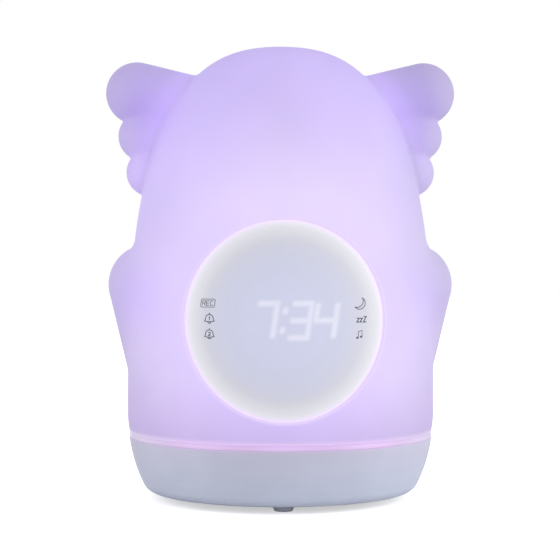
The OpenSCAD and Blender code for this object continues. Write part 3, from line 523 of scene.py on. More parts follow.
# Zones of the glow: what each follows, between which two places it changes, and its values there.
# "past" is how far a point lies outside the body without its limbs, and "hole" how far from the
# window's axis.
ZONES = {
    "crease": ("past", (0.6, 3.4), (0.0, 1.0)),
    "near_crease": ("past", (4, 15), (1.0, 0.0)),
    "gills": ("z", (122, 136), (0.0, 1.0)),
    "right": ("x", (36, 58), (0.0, 1.0)),
    "flank": ("z", (115, 50), (1.0, 0.0)),
    "below_gills": ("z", (135, 150), (1.0, 0.5)),
    "foot": ("z", (32, 54), (1.0, 0.0)),
    "hole_wall": ("hole", (HOLE_R, HOLE_R + 11), (1.0, 0.0)),
    "lip": ("hole", (HOLE_R - 0.4, HOLE_R + 1.9), (0.9, 0.0)),
    "seam": ("z", (SHADE_FOOT, SHADE_FOOT + 2.4), (0.95, 0.0)),
}
STRAIGHT_ZONES = ("foot", "hole_wall")
FRONT_ZONES = ("hole_wall", "lip")
# What the glow gains where zones meet. Where a gill grows out of the head, violet light gathers in a band
# that starts sharply at the crease. On the right flank the glow is a little weaker: painted shade, which
# takes back some of the light of the stronger right soft box.
GLOW_SHIFTS = (
    (("crease", "near_crease", "gills"), (0.062, 0.04, 0.105)),
    (("right", "flank", "below_gills"), (-0.055, -0.025, -0.105)),
)
# What the glow is multiplied by. Towards the foot it is a deeper violet, and the tube behind the window
# keeps some of the light off the wall round the hole.
GLOW_TINTS = (("foot", (0.96, 0.84, 1.05)), ("hole_wall", (0.93, 0.915, 0.985)))
# The lip of the hole, reddened by light from the gap round the window, and the lowest few millimetres,
# which the lit edge of the deck shines into.
LIP_GLOW = linear("c4b0d6")
SEAM_GLOW = linear("be9ace")
# What the seam's light gains towards the left and right, and between which distances from the middle.
SIDE_SHIFT = (-0.085, 0.026, -0.11)
SIDE_START = 36
SIDE_END = 60
# Everything in front of this y belongs to the front.
FRONT_Y = -20


def front_distance(tree, place, x, z):
    """Distance from an axis that runs from front to back, at x and z in millimetres."""
    flat = add(tree, "ShaderNodeVectorMath", {0: place, 1: (1, 0, 1)}, operation="MULTIPLY")
    away = add(tree, "ShaderNodeVectorMath", {0: flat, 1: (x * MM, 0, z * MM)}, operation="DISTANCE")
    return away.outputs["Value"]


def front_only(tree, zone, y):
    """The zone on the object's front, and none of it behind."""
    facing = add(tree, "ShaderNodeMath", {0: y, 1: FRONT_Y * MM}, operation="LESS_THAN")
    return add(tree, "ShaderNodeMath", {0: zone, 1: facing}, operation="MULTIPLY")


def towards_sides(tree, place):
    """A zone that is 0 at the front and back of the seam and 1 at its left and right ends."""
    folded = add(tree, "ShaderNodeVectorMath", {0: place}, operation="ABSOLUTE")
    across = add(tree, "ShaderNodeSeparateXYZ", {0: folded}).outputs["X"]
    return add(tree, "ShaderNodeMapRange", {"Value": across, "From Min": SIDE_START * MM,
               "From Max": SIDE_END * MM}, interpolation_type="SMOOTHSTEP")


def shifted(tree, glow, shift, zone):
    """The glow with a colour added to it where the zone is."""
    shift = add(tree, "ShaderNodeVectorMath", {0: shift, "Scale": zone}, operation="SCALE")
    return add(tree, "ShaderNodeVectorMath", {0: glow, 1: shift}, operation="ADD")


def milky_silicone():
    """Platinum silicone, moulded matt: milky, evenly glowing from inside, with hardly any highlight."""
    material, tree, place = new_material("milky_silicone")
    folded = add(tree, "ShaderNodeVectorMath", {0: place}, operation="ABSOLUTE")
    glow = (0, 0, 0)
    for x, y, z, reach, violet, white in GLOWS:
        lamp = (x * MM, y * MM, z * MM)
        away = add(tree, "ShaderNodeVectorMath", {0: folded, 1: lamp}, operation="DISTANCE").outputs["Value"]
        near = add(tree, "ShaderNodeMath", {0: away, 1: reach * MM}, operation="DIVIDE")
        fall = add(tree, "ShaderNodeMath", {0: near, 1: near, 2: 1.0}, operation="MULTIPLY_ADD")
        share = add(tree, "ShaderNodeMath", {0: 1.0, 1: fall}, operation="DIVIDE")
        light = [violet * v + white * w for v, w in zip(NIGHT_VIOLET, WARM_WHITE)]
        glow = shifted(tree, glow, light, share)
    # The wall is a little uneven in thickness, in patches of about 25 mm.
    patches = add(tree, "ShaderNodeTexNoise", {"Vector": place, "Scale": 1 / (25 * MM), "Detail": 1.0})
    uneven = add(tree, "ShaderNodeMapRange", {"Value": patches, "To Min": 0.975, "To Max": 1.025})
    glow = add(tree, "ShaderNodeVectorMath", {0: glow, "Scale": uneven}, operation="SCALE")
    # Less of the white light than of the violet reaches into the limbs.
    for x, z in LIMB_MIDDLES:
        zone = add(tree, "ShaderNodeMapRange", {
            "Value": front_distance(tree, folded, x, z), "From Max": LIMB_REACH * MM,
            "To Min": 1.0, "To Max": 0.0}, interpolation_type="SMOOTHSTEP")
        glow = shifted(tree, glow, LIMB_SHIFT, zone)
    # How far a point lies outside the body's dome, whose radius is worked out as in body_radius.
    parts = add(tree, "ShaderNodeSeparateXYZ", {0: place}).outputs
    outward = add(tree, "ShaderNodeVectorMath", {0: place, 1: (1, 1, 0)}, operation="MULTIPLY")
    outward = add(tree, "ShaderNodeVectorMath", {0: outward}, operation="LENGTH").outputs["Value"]
    up = add(tree, "ShaderNodeMapRange", {"Value": parts["Z"], "From Min": SHADE_FOOT * MM,
             "From Max": HEAD_TOP * MM})
    up = add(tree, "ShaderNodeMath", {0: up, 1: POWER_Z}, operation="POWER")
    up = add(tree, "ShaderNodeMath", {0: 1.0, 1: up}, operation="SUBTRACT")
    up = add(tree, "ShaderNodeMath", {0: up, 1: 1 / POWER_R}, operation="POWER")
    past = add(tree, "ShaderNodeMath", {0: up, 1: -BODY_R * MM, 2: outward}, operation="MULTIPLY_ADD")
    hole = front_distance(tree, place, 0, WINDOW_Z)
    follows = {"x": parts["X"], "z": parts["Z"], "past": past, "hole": hole}
    zones = {}
    for name, (what, (start, end), (first, last)) in ZONES.items():
        zones[name] = add(tree, "ShaderNodeMapRange", {
            "Value": follows[what], "From Min": start * MM, "From Max": end * MM,
            "To Min": first, "To Max": last},
            interpolation_type="LINEAR" if name in STRAIGHT_ZONES else "SMOOTHSTEP")
        if name in FRONT_ZONES:
            zones[name] = front_only(tree, zones[name], parts["Y"])
    # Among these shifts is the painted shade on the right flank.
    for (name, *others), shift in GLOW_SHIFTS:
        zone = zones[name]
        for other in others:
            zone = add(tree, "ShaderNodeMath", {0: zone, 1: zones[other]}, operation="MULTIPLY")
        glow = shifted(tree, glow, shift, zone)
    for name, tint in GLOW_TINTS:
        tinted = add(tree, "ShaderNodeVectorMath", {0: glow, 1: tint}, operation="MULTIPLY")
        glow = add(tree, "ShaderNodeMix", {0: zones[name], 6: glow, 7: tinted}, data_type="RGBA")
    seam_glow = shifted(tree, SEAM_GLOW[:3], SIDE_SHIFT, towards_sides(tree, place))
    for name, colour in (("lip", LIP_GLOW), ("seam", seam_glow)):
        glow = add(tree, "ShaderNodeMix", {0: zones[name], 6: glow, 7: colour}, data_type="RGBA")
    # Moulded matt grain, 1.4 to the millimetre: coarser than the real one, so that it still shows.
    grain = add(tree, "ShaderNodeTexNoise", {"Vector": place, "Scale": 1.4 / MM, "Detail": 2.0})
    bump = add(tree, "ShaderNodeBump", {"Height": grain, "Strength": 0.06, "Distance": 0.2 * MM})
    tone = add(tree, "ShaderNodeValToRGB", {"Fac": patches}, stops=[
        (0.3, linear("f2f0fc", SILICONE_SHARE)), (0.7, linear("f8f5ff", SILICONE_SHARE))])
    shader = add(tree, "ShaderNodeBsdfPrincipled", {
        "Base Color": tone, "Roughness": 0.62, "IOR": 1.41, "Specular IOR Level": 0.2,
        "Emission Color": glow, "Emission Strength": 1.0, "Normal": bump})
    add(tree, "ShaderNodeOutputMaterial", {"Surface": shader})
    return material


# The glow of the window from its middle to its rim, as (share of its radius, colour): a soft grey-blue
# that gets whiter, and then pink, towards the ring of lamps.
WINDOW_GLOW = (
    (0.0, "9598b4"), (0.4, "9297b2"), (0.6, "9094ac"), (0.76, "9394a5"), (0.82, "9897a3"), (0.88, "a3a3a9"),
    (0.92, "aaa9b0"), (0.955, "b1b0b7"), (0.975, "b9b5c1"), (0.988, "c0b6cb"), (1.0, "c6b7d5"))
# The lit digits 7, 3 and 4, each as its middle x before it leans and whether its top, middle, bottom and
# upper left bars are lit. Its right side always is.
LIT_DIGITS = ((-7.9, 1, 0, 0, 0), (5.5, 1, 1, 1, 0), (15.7, 0, 1, 0, 1))
DIGIT_HALF_W = 3.9
DIGIT_HALF_H = 6.6
DIGIT_LEAN = 0.15
DIGIT_MIDDLE = 76.6
# How far a bar stops short where no lit bar meets it: at its top, at its bottom and at its left end.
SHORT_TOP = 0.9
SHORT_BOTTOM = 0.7
SHORT_LEFT = 1.3
COLON_X = -0.53
COLON_Z = 3.75
COLON_HALF = 0.3
# A segment is fully lit up to the first of these distances from its middle line and dark beyond the
# second, because the frosting blurs it.
SEGMENT_BLUR = (0.02, 2.07)
DIGIT_GLOW = (0.145, 0.127, 0.1)


def lit_segments():
    """The lit bars and the colon's dots as (middle x, middle z, half length, upright), before they lean."""
    w, h = DIGIT_HALF_W, DIGIT_HALF_H
    bars = []
    for x, top, middle, bottom, upper_left in LIT_DIGITS:
        over, under = (0.0 if top else SHORT_TOP), (0.0 if bottom else SHORT_BOTTOM)
        inset = 0.0 if upper_left else SHORT_LEFT
        bars.append((x + w, (under - over) / 2, h - (over + under) / 2, True))
        bars += [(x + inset / 2, z, w - inset / 2, False)
                 for z, lit in ((h, top), (0.0, middle), (-h, bottom)) if lit]
        if upper_left:
            bars.append((x - w, (h - over) / 2, (h - over) / 2, True))
    return bars + [(COLON_X, z, COLON_HALF, True) for z in (COLON_Z, -COLON_Z)]


def frosted_window():
    """Frosted polycarbonate: a soft grey-blue disc, whiter towards its ring of lamps, with lit digits."""
    material, tree, place = new_material("frosted_window")
    away = front_distance(tree, place, 0, WINDOW_Z)
    radial = add(tree, "ShaderNodeMath", {0: away, 1: WINDOW_R * MM}, operation="DIVIDE")
    glow = add(tree, "ShaderNodeValToRGB", {"Fac": radial}, stops=WINDOW_GLOW)
    # Millimetres from the middle of the window, straightened so that the leaning digits stand upright.
    parts = add(tree, "ShaderNodeSeparateXYZ", {0: place}).outputs
    up = add(tree, "ShaderNodeMath", {0: parts["Z"], 1: 1 / MM, 2: -DIGIT_MIDDLE}, operation="MULTIPLY_ADD")
    lean = add(tree, "ShaderNodeMath", {0: up, 1: -DIGIT_LEAN}, operation="MULTIPLY")
    across = add(tree, "ShaderNodeMath", {0: parts["X"], 1: 1 / MM, 2: lean}, operation="MULTIPLY_ADD")
    spot = add(tree, "ShaderNodeCombineXYZ", {0: across, 1: up})
    nearest = None
    for x, z, half, upright in lit_segments():
        shift = add(tree, "ShaderNodeVectorMath", {0: spot, 1: (x, z, 0)}, operation="SUBTRACT")
        mirror = add(tree, "ShaderNodeVectorMath", {0: shift}, operation="ABSOLUTE")
        reach = (0, half, 0) if upright else (half, 0, 0)
        past = add(tree, "ShaderNodeVectorMath", {0: mirror, 1: reach}, operation="SUBTRACT")
        past = add(tree, "ShaderNodeVectorMath", {0: past, 1: (0, 0, 0)}, operation="MAXIMUM")
        gap = add(tree, "ShaderNodeVectorMath", {0: past}, operation="LENGTH").outputs["Value"]
        nearest = gap if nearest is None else add(
            tree, "ShaderNodeMath", {0: nearest, 1: gap}, operation="MINIMUM")
    lit = add(tree, "ShaderNodeMapRange", {"Value": nearest, "From Min": SEGMENT_BLUR[0],
              "From Max": SEGMENT_BLUR[1], "To Min": 1.0, "To Max": 0.0}, interpolation_type="SMOOTHSTEP")
    glow = shifted(tree, glow, DIGIT_GLOW, front_only(tree, lit, parts["Y"]))
    # Frosted grain, 1.6 to the millimetre, which shows as a soft face without a clear reflection.
    grain = add(tree, "ShaderNodeTexNoise", {"Vector": place, "Scale": 1.6 / MM, "Detail": 2.0})
    bump = add(tree, "ShaderNodeBump", {"Height": grain, "Strength": 0.04, "Distance": 0.2 * MM})
    tone = add(tree, "ShaderNodeValToRGB", {"Fac": grain}, stops=[(0.3, "94949a"), (0.7, "98989d")])
    shader = add(tree, "ShaderNodeBsdfPrincipled", {
        "Base Color": tone, "Roughness": 0.5, "IOR": 1.58, "Specular IOR Level": 0.2,
        "Emission Color": glow, "Emission Strength": 1.0, "Normal": bump})
    add(tree, "ShaderNodeOutputMaterial", {"Surface": shader})
    return material


# The brighter stretches of the deck's edge, and how much brighter and darker it gets.
STRETCHES = 12.0
STRETCH_SWING = 0.07


def edge_lit_acrylic():
    """Clear cast acrylic with a satin edge that carries the light of the lamps: a thin pink line."""
    material, tree, place = new_material("edge_lit_acrylic")
    parts = add(tree, "ShaderNodeSeparateXYZ", {0: place}).outputs
    # The edge is brightest half way up, where the light runs straight out of the plate.
    height = add(tree, "ShaderNodeMapRange", {"Value": parts["Z"], "From Min": SEAM_Z * MM,
                 "From Max": SHADE_FOOT * MM})
    line = add(tree, "ShaderNodeValToRGB", {"Fac": height}, stops=[
        (0.0, "8e8299"), (0.5, "9b8aa5"), (1.0, "9285a8")])
    # The lamps on the deck make slow brighter and darker stretches round it.
    angle = add(tree, "ShaderNodeMath", {0: parts["Y"], 1: parts["X"]}, operation="ARCTAN2")
    turns = add(tree, "ShaderNodeMath", {0: angle, 1: STRETCHES}, operation="MULTIPLY")
    wave = add(tree, "ShaderNodeMath", {0: turns}, operation="COSINE")
    swing = add(tree, "ShaderNodeMapRange", {"Value": wave, "From Min": -1.0, "From Max": 1.0,
                "To Min": 1 - STRETCH_SWING, "To Max": 1 + STRETCH_SWING})
    glow = add(tree, "ShaderNodeVectorMath", {0: line, "Scale": swing}, operation="SCALE")
    # Towards the sides it is less pink.
    glow = shifted(tree, glow, SIDE_SHIFT, towards_sides(tree, place))
    shader = add(tree, "ShaderNodeBsdfPrincipled", {
        "Base Color": linear("a58cb0"), "Roughness": 0.42, "IOR": 1.49, "Specular IOR Level": 0.3,
        "Emission Color": glow, "Emission Strength": 1.0})
    add(tree, "ShaderNodeOutputMaterial", {"Surface": shader})
    return material


def halo_lit_pbt():
    """White PBT, moulded satin, lit pink by the ring of lamps where it shows in the gap round the window."""
    material, tree, place = new_material("halo_lit_pbt")
    grain = add(tree, "ShaderNodeTexNoise", {"Vector": place, "Scale": 0.9 / MM, "Detail": 2.0})
    tone = add(tree, "ShaderNodeValToRGB", {"Fac": grain}, stops=[(0.3, "c8c4cc"), (0.7, "d0ccd4")])
    glow = add(tree, "ShaderNodeValToRGB", {"Fac": grain}, stops=[(0.3, "a99fbd"), (0.7, "aea4c1")])
    shader = add(tree, "ShaderNodeBsdfPrincipled", {
        "Base Color": tone, "Roughness": 0.5, "Emission Color": glow, "Emission Strength": 1.0})
    add(tree, "ShaderNodeOutputMaterial", {"Surface": shader})
    return material


# ---------------------------------------------------------------- moulded, stamped and printed finishes

# Blender's noise has grains of this size at a scale of 1, and its wave bands this pitch.
NOISE_GRAIN = 0.6
WAVE_PITCH = 0.314


def moulded(name, dark, light, roughness, grain_mm, relief_mm, metallic=0.0, ior=1.5, detail=2.0):
    """A moulded, cast or plated finish: two close tones and a fine relief, both of one grain size."""
    material, tree, place = new_material(name)
    grain = add(tree, "ShaderNodeTexNoise", {"Vector": place, "Scale": NOISE_GRAIN / (grain_mm * MM),
                "Detail": detail})
    tone = add(tree, "ShaderNodeValToRGB", {"Fac": grain}, stops=[(0.32, dark), (0.68, light)])
    polish = add(tree, "ShaderNodeMapRange", {"Value": grain, "To Min": roughness * 0.85,
                 "To Max": roughness * 1.15})
    bump = add(tree, "ShaderNodeBump", {"Height": grain, "Strength": 0.4, "Distance": relief_mm * MM})
    inputs = {"Base Color": tone, "Roughness": polish, "Metallic": metallic, "Normal": bump}
    if not metallic:
        inputs["IOR"] = ior
    shader = add(tree, "ShaderNodeBsdfPrincipled", inputs)
    add(tree, "ShaderNodeOutputMaterial", {"Surface": shader})
    return material


# Painted light on the base's rim under the lit deck, and between which heights it begins. Then the heights up
# to which the base is scuffed fully and at all.
PAINTED_RIM_LIGHT = (0.09, 0.02, 0.1)
RIM_START = 24.9
RIM_END = 26.2
SCUFF_FULL = 4
SCUFF_END = 8


def lilac_abs():
    """Spark-eroded ABS: an even, satin lilac-grey with a fine pebble, scuffed a little at the floor, and
    painted light from the night light near the deck.
    """
    material, tree, place = new_material("lilac_abs")
    # Pebbles of about 0.5 mm; the real ones are half that and wouldn't show.
    pebble = add(tree, "ShaderNodeTexVoronoi", {"Vector": place, "Scale": 1 / (0.5 * MM)})
    cloud = add(tree, "ShaderNodeTexNoise", {"Vector": place, "Scale": NOISE_GRAIN / (10 * MM),
                "Detail": 3.0})
    z = add(tree, "ShaderNodeSeparateXYZ", {0: place}).outputs["Z"]
    # Painted light of the night light, which falls on the top of the base: warmer towards the deck, cooler
    # towards the floor.
    height = add(tree, "ShaderNodeMapRange", {"Value": z, "From Min": 5 * MM, "From Max": 25 * MM})
    tone = add(tree, "ShaderNodeValToRGB", {"Fac": height}, stops=[
        (0.0, "b9bfd0"), (0.5, "b8bccd"), (1.0, "b8b7ca")])
    patches = add(tree, "ShaderNodeMapRange", {"Value": cloud, "From Min": 0.3, "From Max": 0.7,
                  "To Min": 0.97, "To Max": 1.03})
    tone = add(tree, "ShaderNodeVectorMath", {0: tone, "Scale": patches}, operation="SCALE")
    # Fine level scratches near the floor, a little paler than the rest.
    low = add(tree, "ShaderNodeMapRange", {"Value": z, "From Min": SCUFF_FULL * MM,
              "From Max": SCUFF_END * MM, "To Min": 1.0, "To Max": 0.0})
    flattened = add(tree, "ShaderNodeMapping", {"Vector": place, "Scale": (1.0, 1.0, 6.0)})
    scratch = add(tree, "ShaderNodeTexNoise", {"Vector": flattened, "Scale": 0.42 / MM, "Detail": 4.0})
    marks = add(tree, "ShaderNodeMapRange", {"Value": scratch, "From Min": 0.6, "From Max": 0.72})
    worn = add(tree, "ShaderNodeMath", {0: marks, 1: low}, operation="MULTIPLY")
    worn = add(tree, "ShaderNodeMath", {0: worn, 1: 0.4}, operation="MULTIPLY")
    tone = add(tree, "ShaderNodeMix", {0: worn, 6: tone, 7: linear("d0d0de")}, data_type="RGBA")
    polish = add(tree, "ShaderNodeMapRange", {"Value": cloud, "To Min": 0.44, "To Max": 0.56})
    bump = add(tree, "ShaderNodeBump", {"Height": pebble, "Strength": 0.12, "Distance": 0.05 * MM})
    # Painted light on the rim under the lit deck: a glow that stands for the deck's light falling on it and
    # lightens the groove at the seam.
    rim = add(tree, "ShaderNodeMapRange", {"Value": z, "From Min": RIM_START * MM, "From Max": RIM_END * MM},
              interpolation_type="SMOOTHERSTEP")
    glow = add(tree, "ShaderNodeVectorMath", {0: PAINTED_RIM_LIGHT, "Scale": rim}, operation="SCALE")
    shader = add(tree, "ShaderNodeBsdfPrincipled", {
        "Base Color": tone, "Roughness": polish, "IOR": 1.53, "Specular IOR Level": 0.35, "Normal": bump,
        "Emission Color": glow, "Emission Strength": 1.0})
    add(tree, "ShaderNodeOutputMaterial", {"Surface": shader})
    return material


def green_board():
    """Glass-fibre board under green solder mask: glossy, with paler tracks 1.2 mm apart and tinned pads."""
    material, tree, place = new_material("green_board")
    tracks = add(tree, "ShaderNodeTexBrick", {
        "Vector": place, "Scale": 1 / (9 * MM), "Mortar Size": 0.035, "Brick Width": 0.9, "Row Height": 0.13,
        "Color1": linear("0f4a2c"), "Color2": linear("0d4428"), "Mortar": linear("1f6b41")})
    # Pads about 5 mm apart.
    dots = add(tree, "ShaderNodeTexVoronoi", {"Vector": place, "Scale": 1 / (5 * MM), "Randomness": 0.7})
    pads = add(tree, "ShaderNodeMath", {0: dots, 1: 0.1}, operation="LESS_THAN")
    tone = add(tree, "ShaderNodeMix", {0: pads, 6: tracks, 7: linear("b9bcc0")}, data_type="RGBA")
    polish = add(tree, "ShaderNodeMapRange", {"Value": dots, "To Min": 0.22, "To Max": 0.38})
    shader = add(tree, "ShaderNodeBsdfPrincipled", {
        "Base Color": tone, "Roughness": polish, "Metallic": pads, "IOR": 1.55})
    add(tree, "ShaderNodeOutputMaterial", {"Surface": shader})
    return material


# How high over the floor the middles of the charging socket and of the power switch are, and half
# the size of the socket's tongue.
SOCKET_Z = 10.0
TONGUE_HALF_W = 3.5
TONGUE_HALF_H = 0.5


def socket_shell():
    """Nickel-plated drawn steel round a black tongue: a bright rim with a dark slot in it."""
    material, tree, place = new_material("socket_shell")
    grain = add(tree, "ShaderNodeTexNoise", {"Vector": place, "Scale": 0.8 / MM, "Detail": 2.0})
    metal = add(tree, "ShaderNodeValToRGB", {"Fac": grain}, stops=[(0.3, "b4b6ba"), (0.7, "c4c6ca")])
    near = add(tree, "ShaderNodeVectorMath", {0: place, 1: (0, 0, SOCKET_Z * MM)}, operation="SUBTRACT")
    near = add(tree, "ShaderNodeVectorMath", {0: near}, operation="ABSOLUTE")
    parts = add(tree, "ShaderNodeSeparateXYZ", {0: near}).outputs
    flat = add(tree, "ShaderNodeMath", {0: parts["Z"], 1: TONGUE_HALF_H * MM}, operation="LESS_THAN")
    narrow = add(tree, "ShaderNodeMath", {0: parts["X"], 1: TONGUE_HALF_W * MM}, operation="LESS_THAN")
    tongue = add(tree, "ShaderNodeMath", {0: flat, 1: narrow}, operation="MULTIPLY")
    tone = add(tree, "ShaderNodeMix", {0: tongue, 6: metal, 7: linear("1d1e21")}, data_type="RGBA")
    shell = add(tree, "ShaderNodeMath", {0: 1.0, 1: tongue}, operation="SUBTRACT")
    polish = add(tree, "ShaderNodeMapRange", {"Value": grain, "To Min": 0.24, "To Max": 0.36})
    shader = add(tree, "ShaderNodeBsdfPrincipled", {
        "Base Color": tone, "Metallic": shell, "Roughness": polish})
    add(tree, "ShaderNodeOutputMaterial", {"Surface": shader})
    return material


def striped(name, stripe, ground, pitch_mm, roughness):
    """A wrapped or laminated finish with straight stripes, such as a flat cable or a printed cell sleeve."""
    material, tree, place = new_material(name)
    bands = add(tree, "ShaderNodeTexWave", {"Vector": place, "Scale": WAVE_PITCH / (pitch_mm * MM)})
    tone = add(tree, "ShaderNodeValToRGB", {"Fac": bands}, stops=[(0.35, ground), (0.6, stripe)])
    bump = add(tree, "ShaderNodeBump", {"Height": bands, "Strength": 0.2, "Distance": 0.1 * MM})
    shader = add(tree, "ShaderNodeBsdfPrincipled", {
        "Base Color": tone, "Roughness": roughness, "Normal": bump})
    add(tree, "ShaderNodeOutputMaterial", {"Surface": shader})
    return material


# Zinc-plated steel: bright and a little cool. Pad-printed ink: flat dark grey.
steel = moulded("zinc_plated_steel", "a4a7ab", "b9bcc0", 0.3, 0.8, 0.01, metallic=1.0)
ink = moulded("grey_pad_ink", "474955", "50525e", 0.6, 0.3, 0.01)

# The finish of each material slot of the record, and what it gives the eye.
FINISHES = {
    "shade_silicone": milky_silicone(),
    "window_plastic": frosted_window(),
    "base_plastic": lilac_abs(),
    "deck_acrylic": edge_lit_acrylic(),
    # Injection-moulded, satin and plain white.
    "inner_plastic": moulded("white_abs", "dcdcdd", "e4e4e5", 0.5, 0.6, 0.02),
    # A matt sheet that scatters the light of the segments.
    "film": moulded("matt_polyester_film", "eeeeee", "f5f5f5", 0.7, 0.3, 0.01),
    # Cast resin with phosphor: a glossy pale yellow.
    "led": moulded("phosphor_resin", "e6dca0", "f2eabb", 0.2, 0.5, 0.01, ior=1.54),
    "board": green_board(),
    "steel": steel,
    # Soft and matt, in nearly the colour of the base.
    "foot_rubber": moulded("moulded_pale_rubber", "d6dae8", "dcdfec", 0.7, 0.4, 0.05, ior=1.52),
    # Moulded connectors, chips and switches: near black, with a faint grain from the fibre.
    "dark_plastic": moulded("black_glass_filled_nylon", "222328", "2c2d33", 0.45, 0.4, 0.02),
    # The loudspeaker's stamped basket, coated: black and satin.
    "speaker_steel": moulded("black_coated_steel", "1b1b1e", "26262a", 0.4, 0.6, 0.02),
    # Pressed fibres: dull black, with a coarse felted relief.
    "cone_paper": moulded("pressed_black_paper", "1a1a1a", "2b2a29", 0.85, 1.2, 0.08, detail=5.0),
    # Ground after firing: an even dark grey.
    "magnet": moulded("ground_ferrite", "3c3c3f", "4a4a4e", 0.5, 0.7, 0.02),
    # Rolled sheet: a bright yellow metal.
    "piezo_brass": moulded("rolled_brass", "c0a357", "cfb46a", 0.28, 0.6, 0.01, metallic=1.0),
    # Moulded a little smoother and darker than the base round them.
    "key_plastic": moulded("satin_key_abs", "b2b1ca", "b8b7d0", 0.42, 0.5, 0.03),
    # Slippery acetal: a plain grey with a low sheen.
    "knob_plastic": moulded("grey_acetal", "8b8fa0", "9296a6", 0.38, 0.5, 0.03, ior=1.48),
    # A shrunk foil sleeve, copper at one end and black over the rest.
    "cell_sleeve": striped("foil_cell_sleeve", "c98e2f", "1f1f22", 44.0, 0.25),
    # Laminated conductors a millimetre apart, seen as fine pale stripes.
    "ribbon": striped("flat_cable", "e8e8ea", "a9abb0", 1.0, 0.35),
    # Extruded, glossy red.
    "wire": moulded("pvc_insulation", "a3181c", "b32226", 0.35, 0.8, 0.02),
    # Cut foam: dull dark grey with open pores.
    "gasket_foam": moulded("closed_cell_foam", "2c2c2f", "3b3b3e", 0.9, 0.9, 0.3, detail=4.0),
}
OWN_FINISH = {"display_cup": halo_lit_pbt(), "usb_socket": socket_shell()}

for part in frame["record"]["subparts"]:
    mesh = frame["nodes"][part["node"]].data
    mesh.materials.clear()
    mesh.materials.append(OWN_FINISH.get(part["node"], FINISHES[part["material_slot"]]))

# ---------------------------------------------------------------- body and window

shade_points, shade_faces = build_shade()
make_piece("silicone_body", shade_points, shade_faces, FINISHES["shade_silicone"],
           slot="shade_silicone", replaces=["shade"])
window_points, window_faces = build_window()
make_piece("milky_window", window_points, window_faces, FINISHES["window_plastic"],
           slot="window_plastic", replaces=["display_window"])
make_piece("deck_bead", *build_bead(), FINISHES["deck_acrylic"], slot="deck_acrylic")


# ---------------------------------------------------------------- printed signs

# The longest stretch of a stroke without a vertex, and the steps along a dot.
STROKE_STEP = 0.7
DOT_STEPS = 20
# A sharp corner gets no wider than the stroke's width divided by this.
MITRE_LIMIT = 0.45
# Prints stand this far proud of their ground and reach this far into it.
PRINT_PROUD = 0.03
PRINT_SUNK = 0.06
# The width of each sign's strokes.
STROKE_W = {"rec": 0.26, "bell": 0.33, "snooze": 0.42, "note": 0.25, "key": 0.3, "bold_key": 0.42,
            "switch": 0.4}
BOLD_KEYS = ("key_minus", "key_plus")


def arc(x, y, radius, start, end, count):
    """Points on an arc, angles in degrees."""
    angles = np.radians(np.linspace(start, end, count))
    return [(x + radius * math.cos(a), y + radius * math.sin(a)) for a in angles]


def finer(line, closed):
    """The same line with a vertex at least every STROKE_STEP."""
    points = []
    for a, b in zip(line, line[1:] + line[:1] if closed else line[1:]):
        count = max(1, math.ceil(math.dist(a, b) / STROKE_STEP))
        points += [(a[0] + (b[0] - a[0]) * i / count, a[1] + (b[1] - a[1]) * i / count) for i in range(count)]
    return points if closed else points + [line[-1]]


def add_slab(points, faces, low_side, high_side, closed, place):
    """A thin closed slab between two lines of flat points; place gives a point's spot at its face or back."""
    start, count = len(points), len(low_side)
    for low, high in zip(low_side, high_side):
        points.extend([place(low, True), place(high, True), place(high, False), place(low, False)])
    for i in range(count if closed else count - 1):
        a, b = start + 4 * i, start + 4 * ((i + 1) % count)
        faces.extend((a + k, a + (k + 1) % 4, b + (k + 1) % 4, b + k) for k in range(4))
    if not closed:
        last = start + 4 * (count - 1)
        faces.extend([(start, start + 3, start + 2, start + 1), (last, last + 1, last + 2, last + 3)])


def add_stroke(points, faces, line, closed, width, place):
    """A stroke of even width along a line, with mitred corners."""
    line = finer(list(line), closed)
    count = len(line)
    sides = ([], [])
    for i, (x, y) in enumerate(line):
        before = line[i - 1] if closed or i else line[i]
        after = line[(i + 1) % count] if closed or i < count - 1 else line[i]
        into = np.array([x - before[0], y - before[1]])
        out = np.array([after[0] - x, after[1] - y])
        into, out = (v / max(np.hypot(*v), 1e-9) for v in (into, out))
        along = into + out
        along = along / max(np.hypot(*along), 1e-9)
        bend = max(float(along @ (out if out.any() else into)), MITRE_LIMIT)
        across = np.array([-along[1], along[0]]) * width / 2 / bend
        sides[0].append((x - across[0], y - across[1]))
        sides[1].append((x + across[0], y + across[1]))
    add_slab(points, faces, sides[0], sides[1], closed, place)


def add_dot(points, faces, x, y, half_w, half_h, lean, place):
    """A filled leaning oval."""
    cos, sin = math.cos(math.radians(lean)), math.sin(math.radians(lean))
    sides = ([], [])
    for i in range(1, DOT_STEPS):
        a = math.pi * i / DOT_STEPS
        for line, side in zip(sides, (-1, 1)):
            u, v = half_w * math.cos(a), side * half_h * math.sin(a)
            line.append((x + u * cos - v * sin, y + u * sin + v * cos))
    add_slab(points, faces, *sides, False, place)


def bell(x, y, s):
    """A bell with its knob and clapper, as lines and whether each is closed."""
    outline = [(x - 1.9 * s, y - 1.35 * s), (x - 1.6 * s, y - 0.9 * s), (x - 1.5 * s, y - 0.2 * s)]
    outline += arc(x, y - 0.2 * s, 1.45 * s, 165, 15, 12)
    outline += [(x + 1.5 * s, y - 0.2 * s), (x + 1.6 * s, y - 0.9 * s), (x + 1.9 * s, y - 1.35 * s)]
    outline += arc(x, y + 4.7 * s, 6.34 * s, -73, -107, 8)
    return [(outline, True), ([(x, y + 1.3 * s), (x, y + 1.9 * s)], False),
            (arc(x, y - 1.65 * s, 0.62 * s, 188, 352, 10), False)]


def one(x, y, s):
    """The digit 1 as a stroke."""
    stem = x + 0.05 * s
    return [([(x - 0.28 * s, y + 0.45 * s), (stem, y + 0.72 * s), (stem, y - 0.72 * s)], False)]


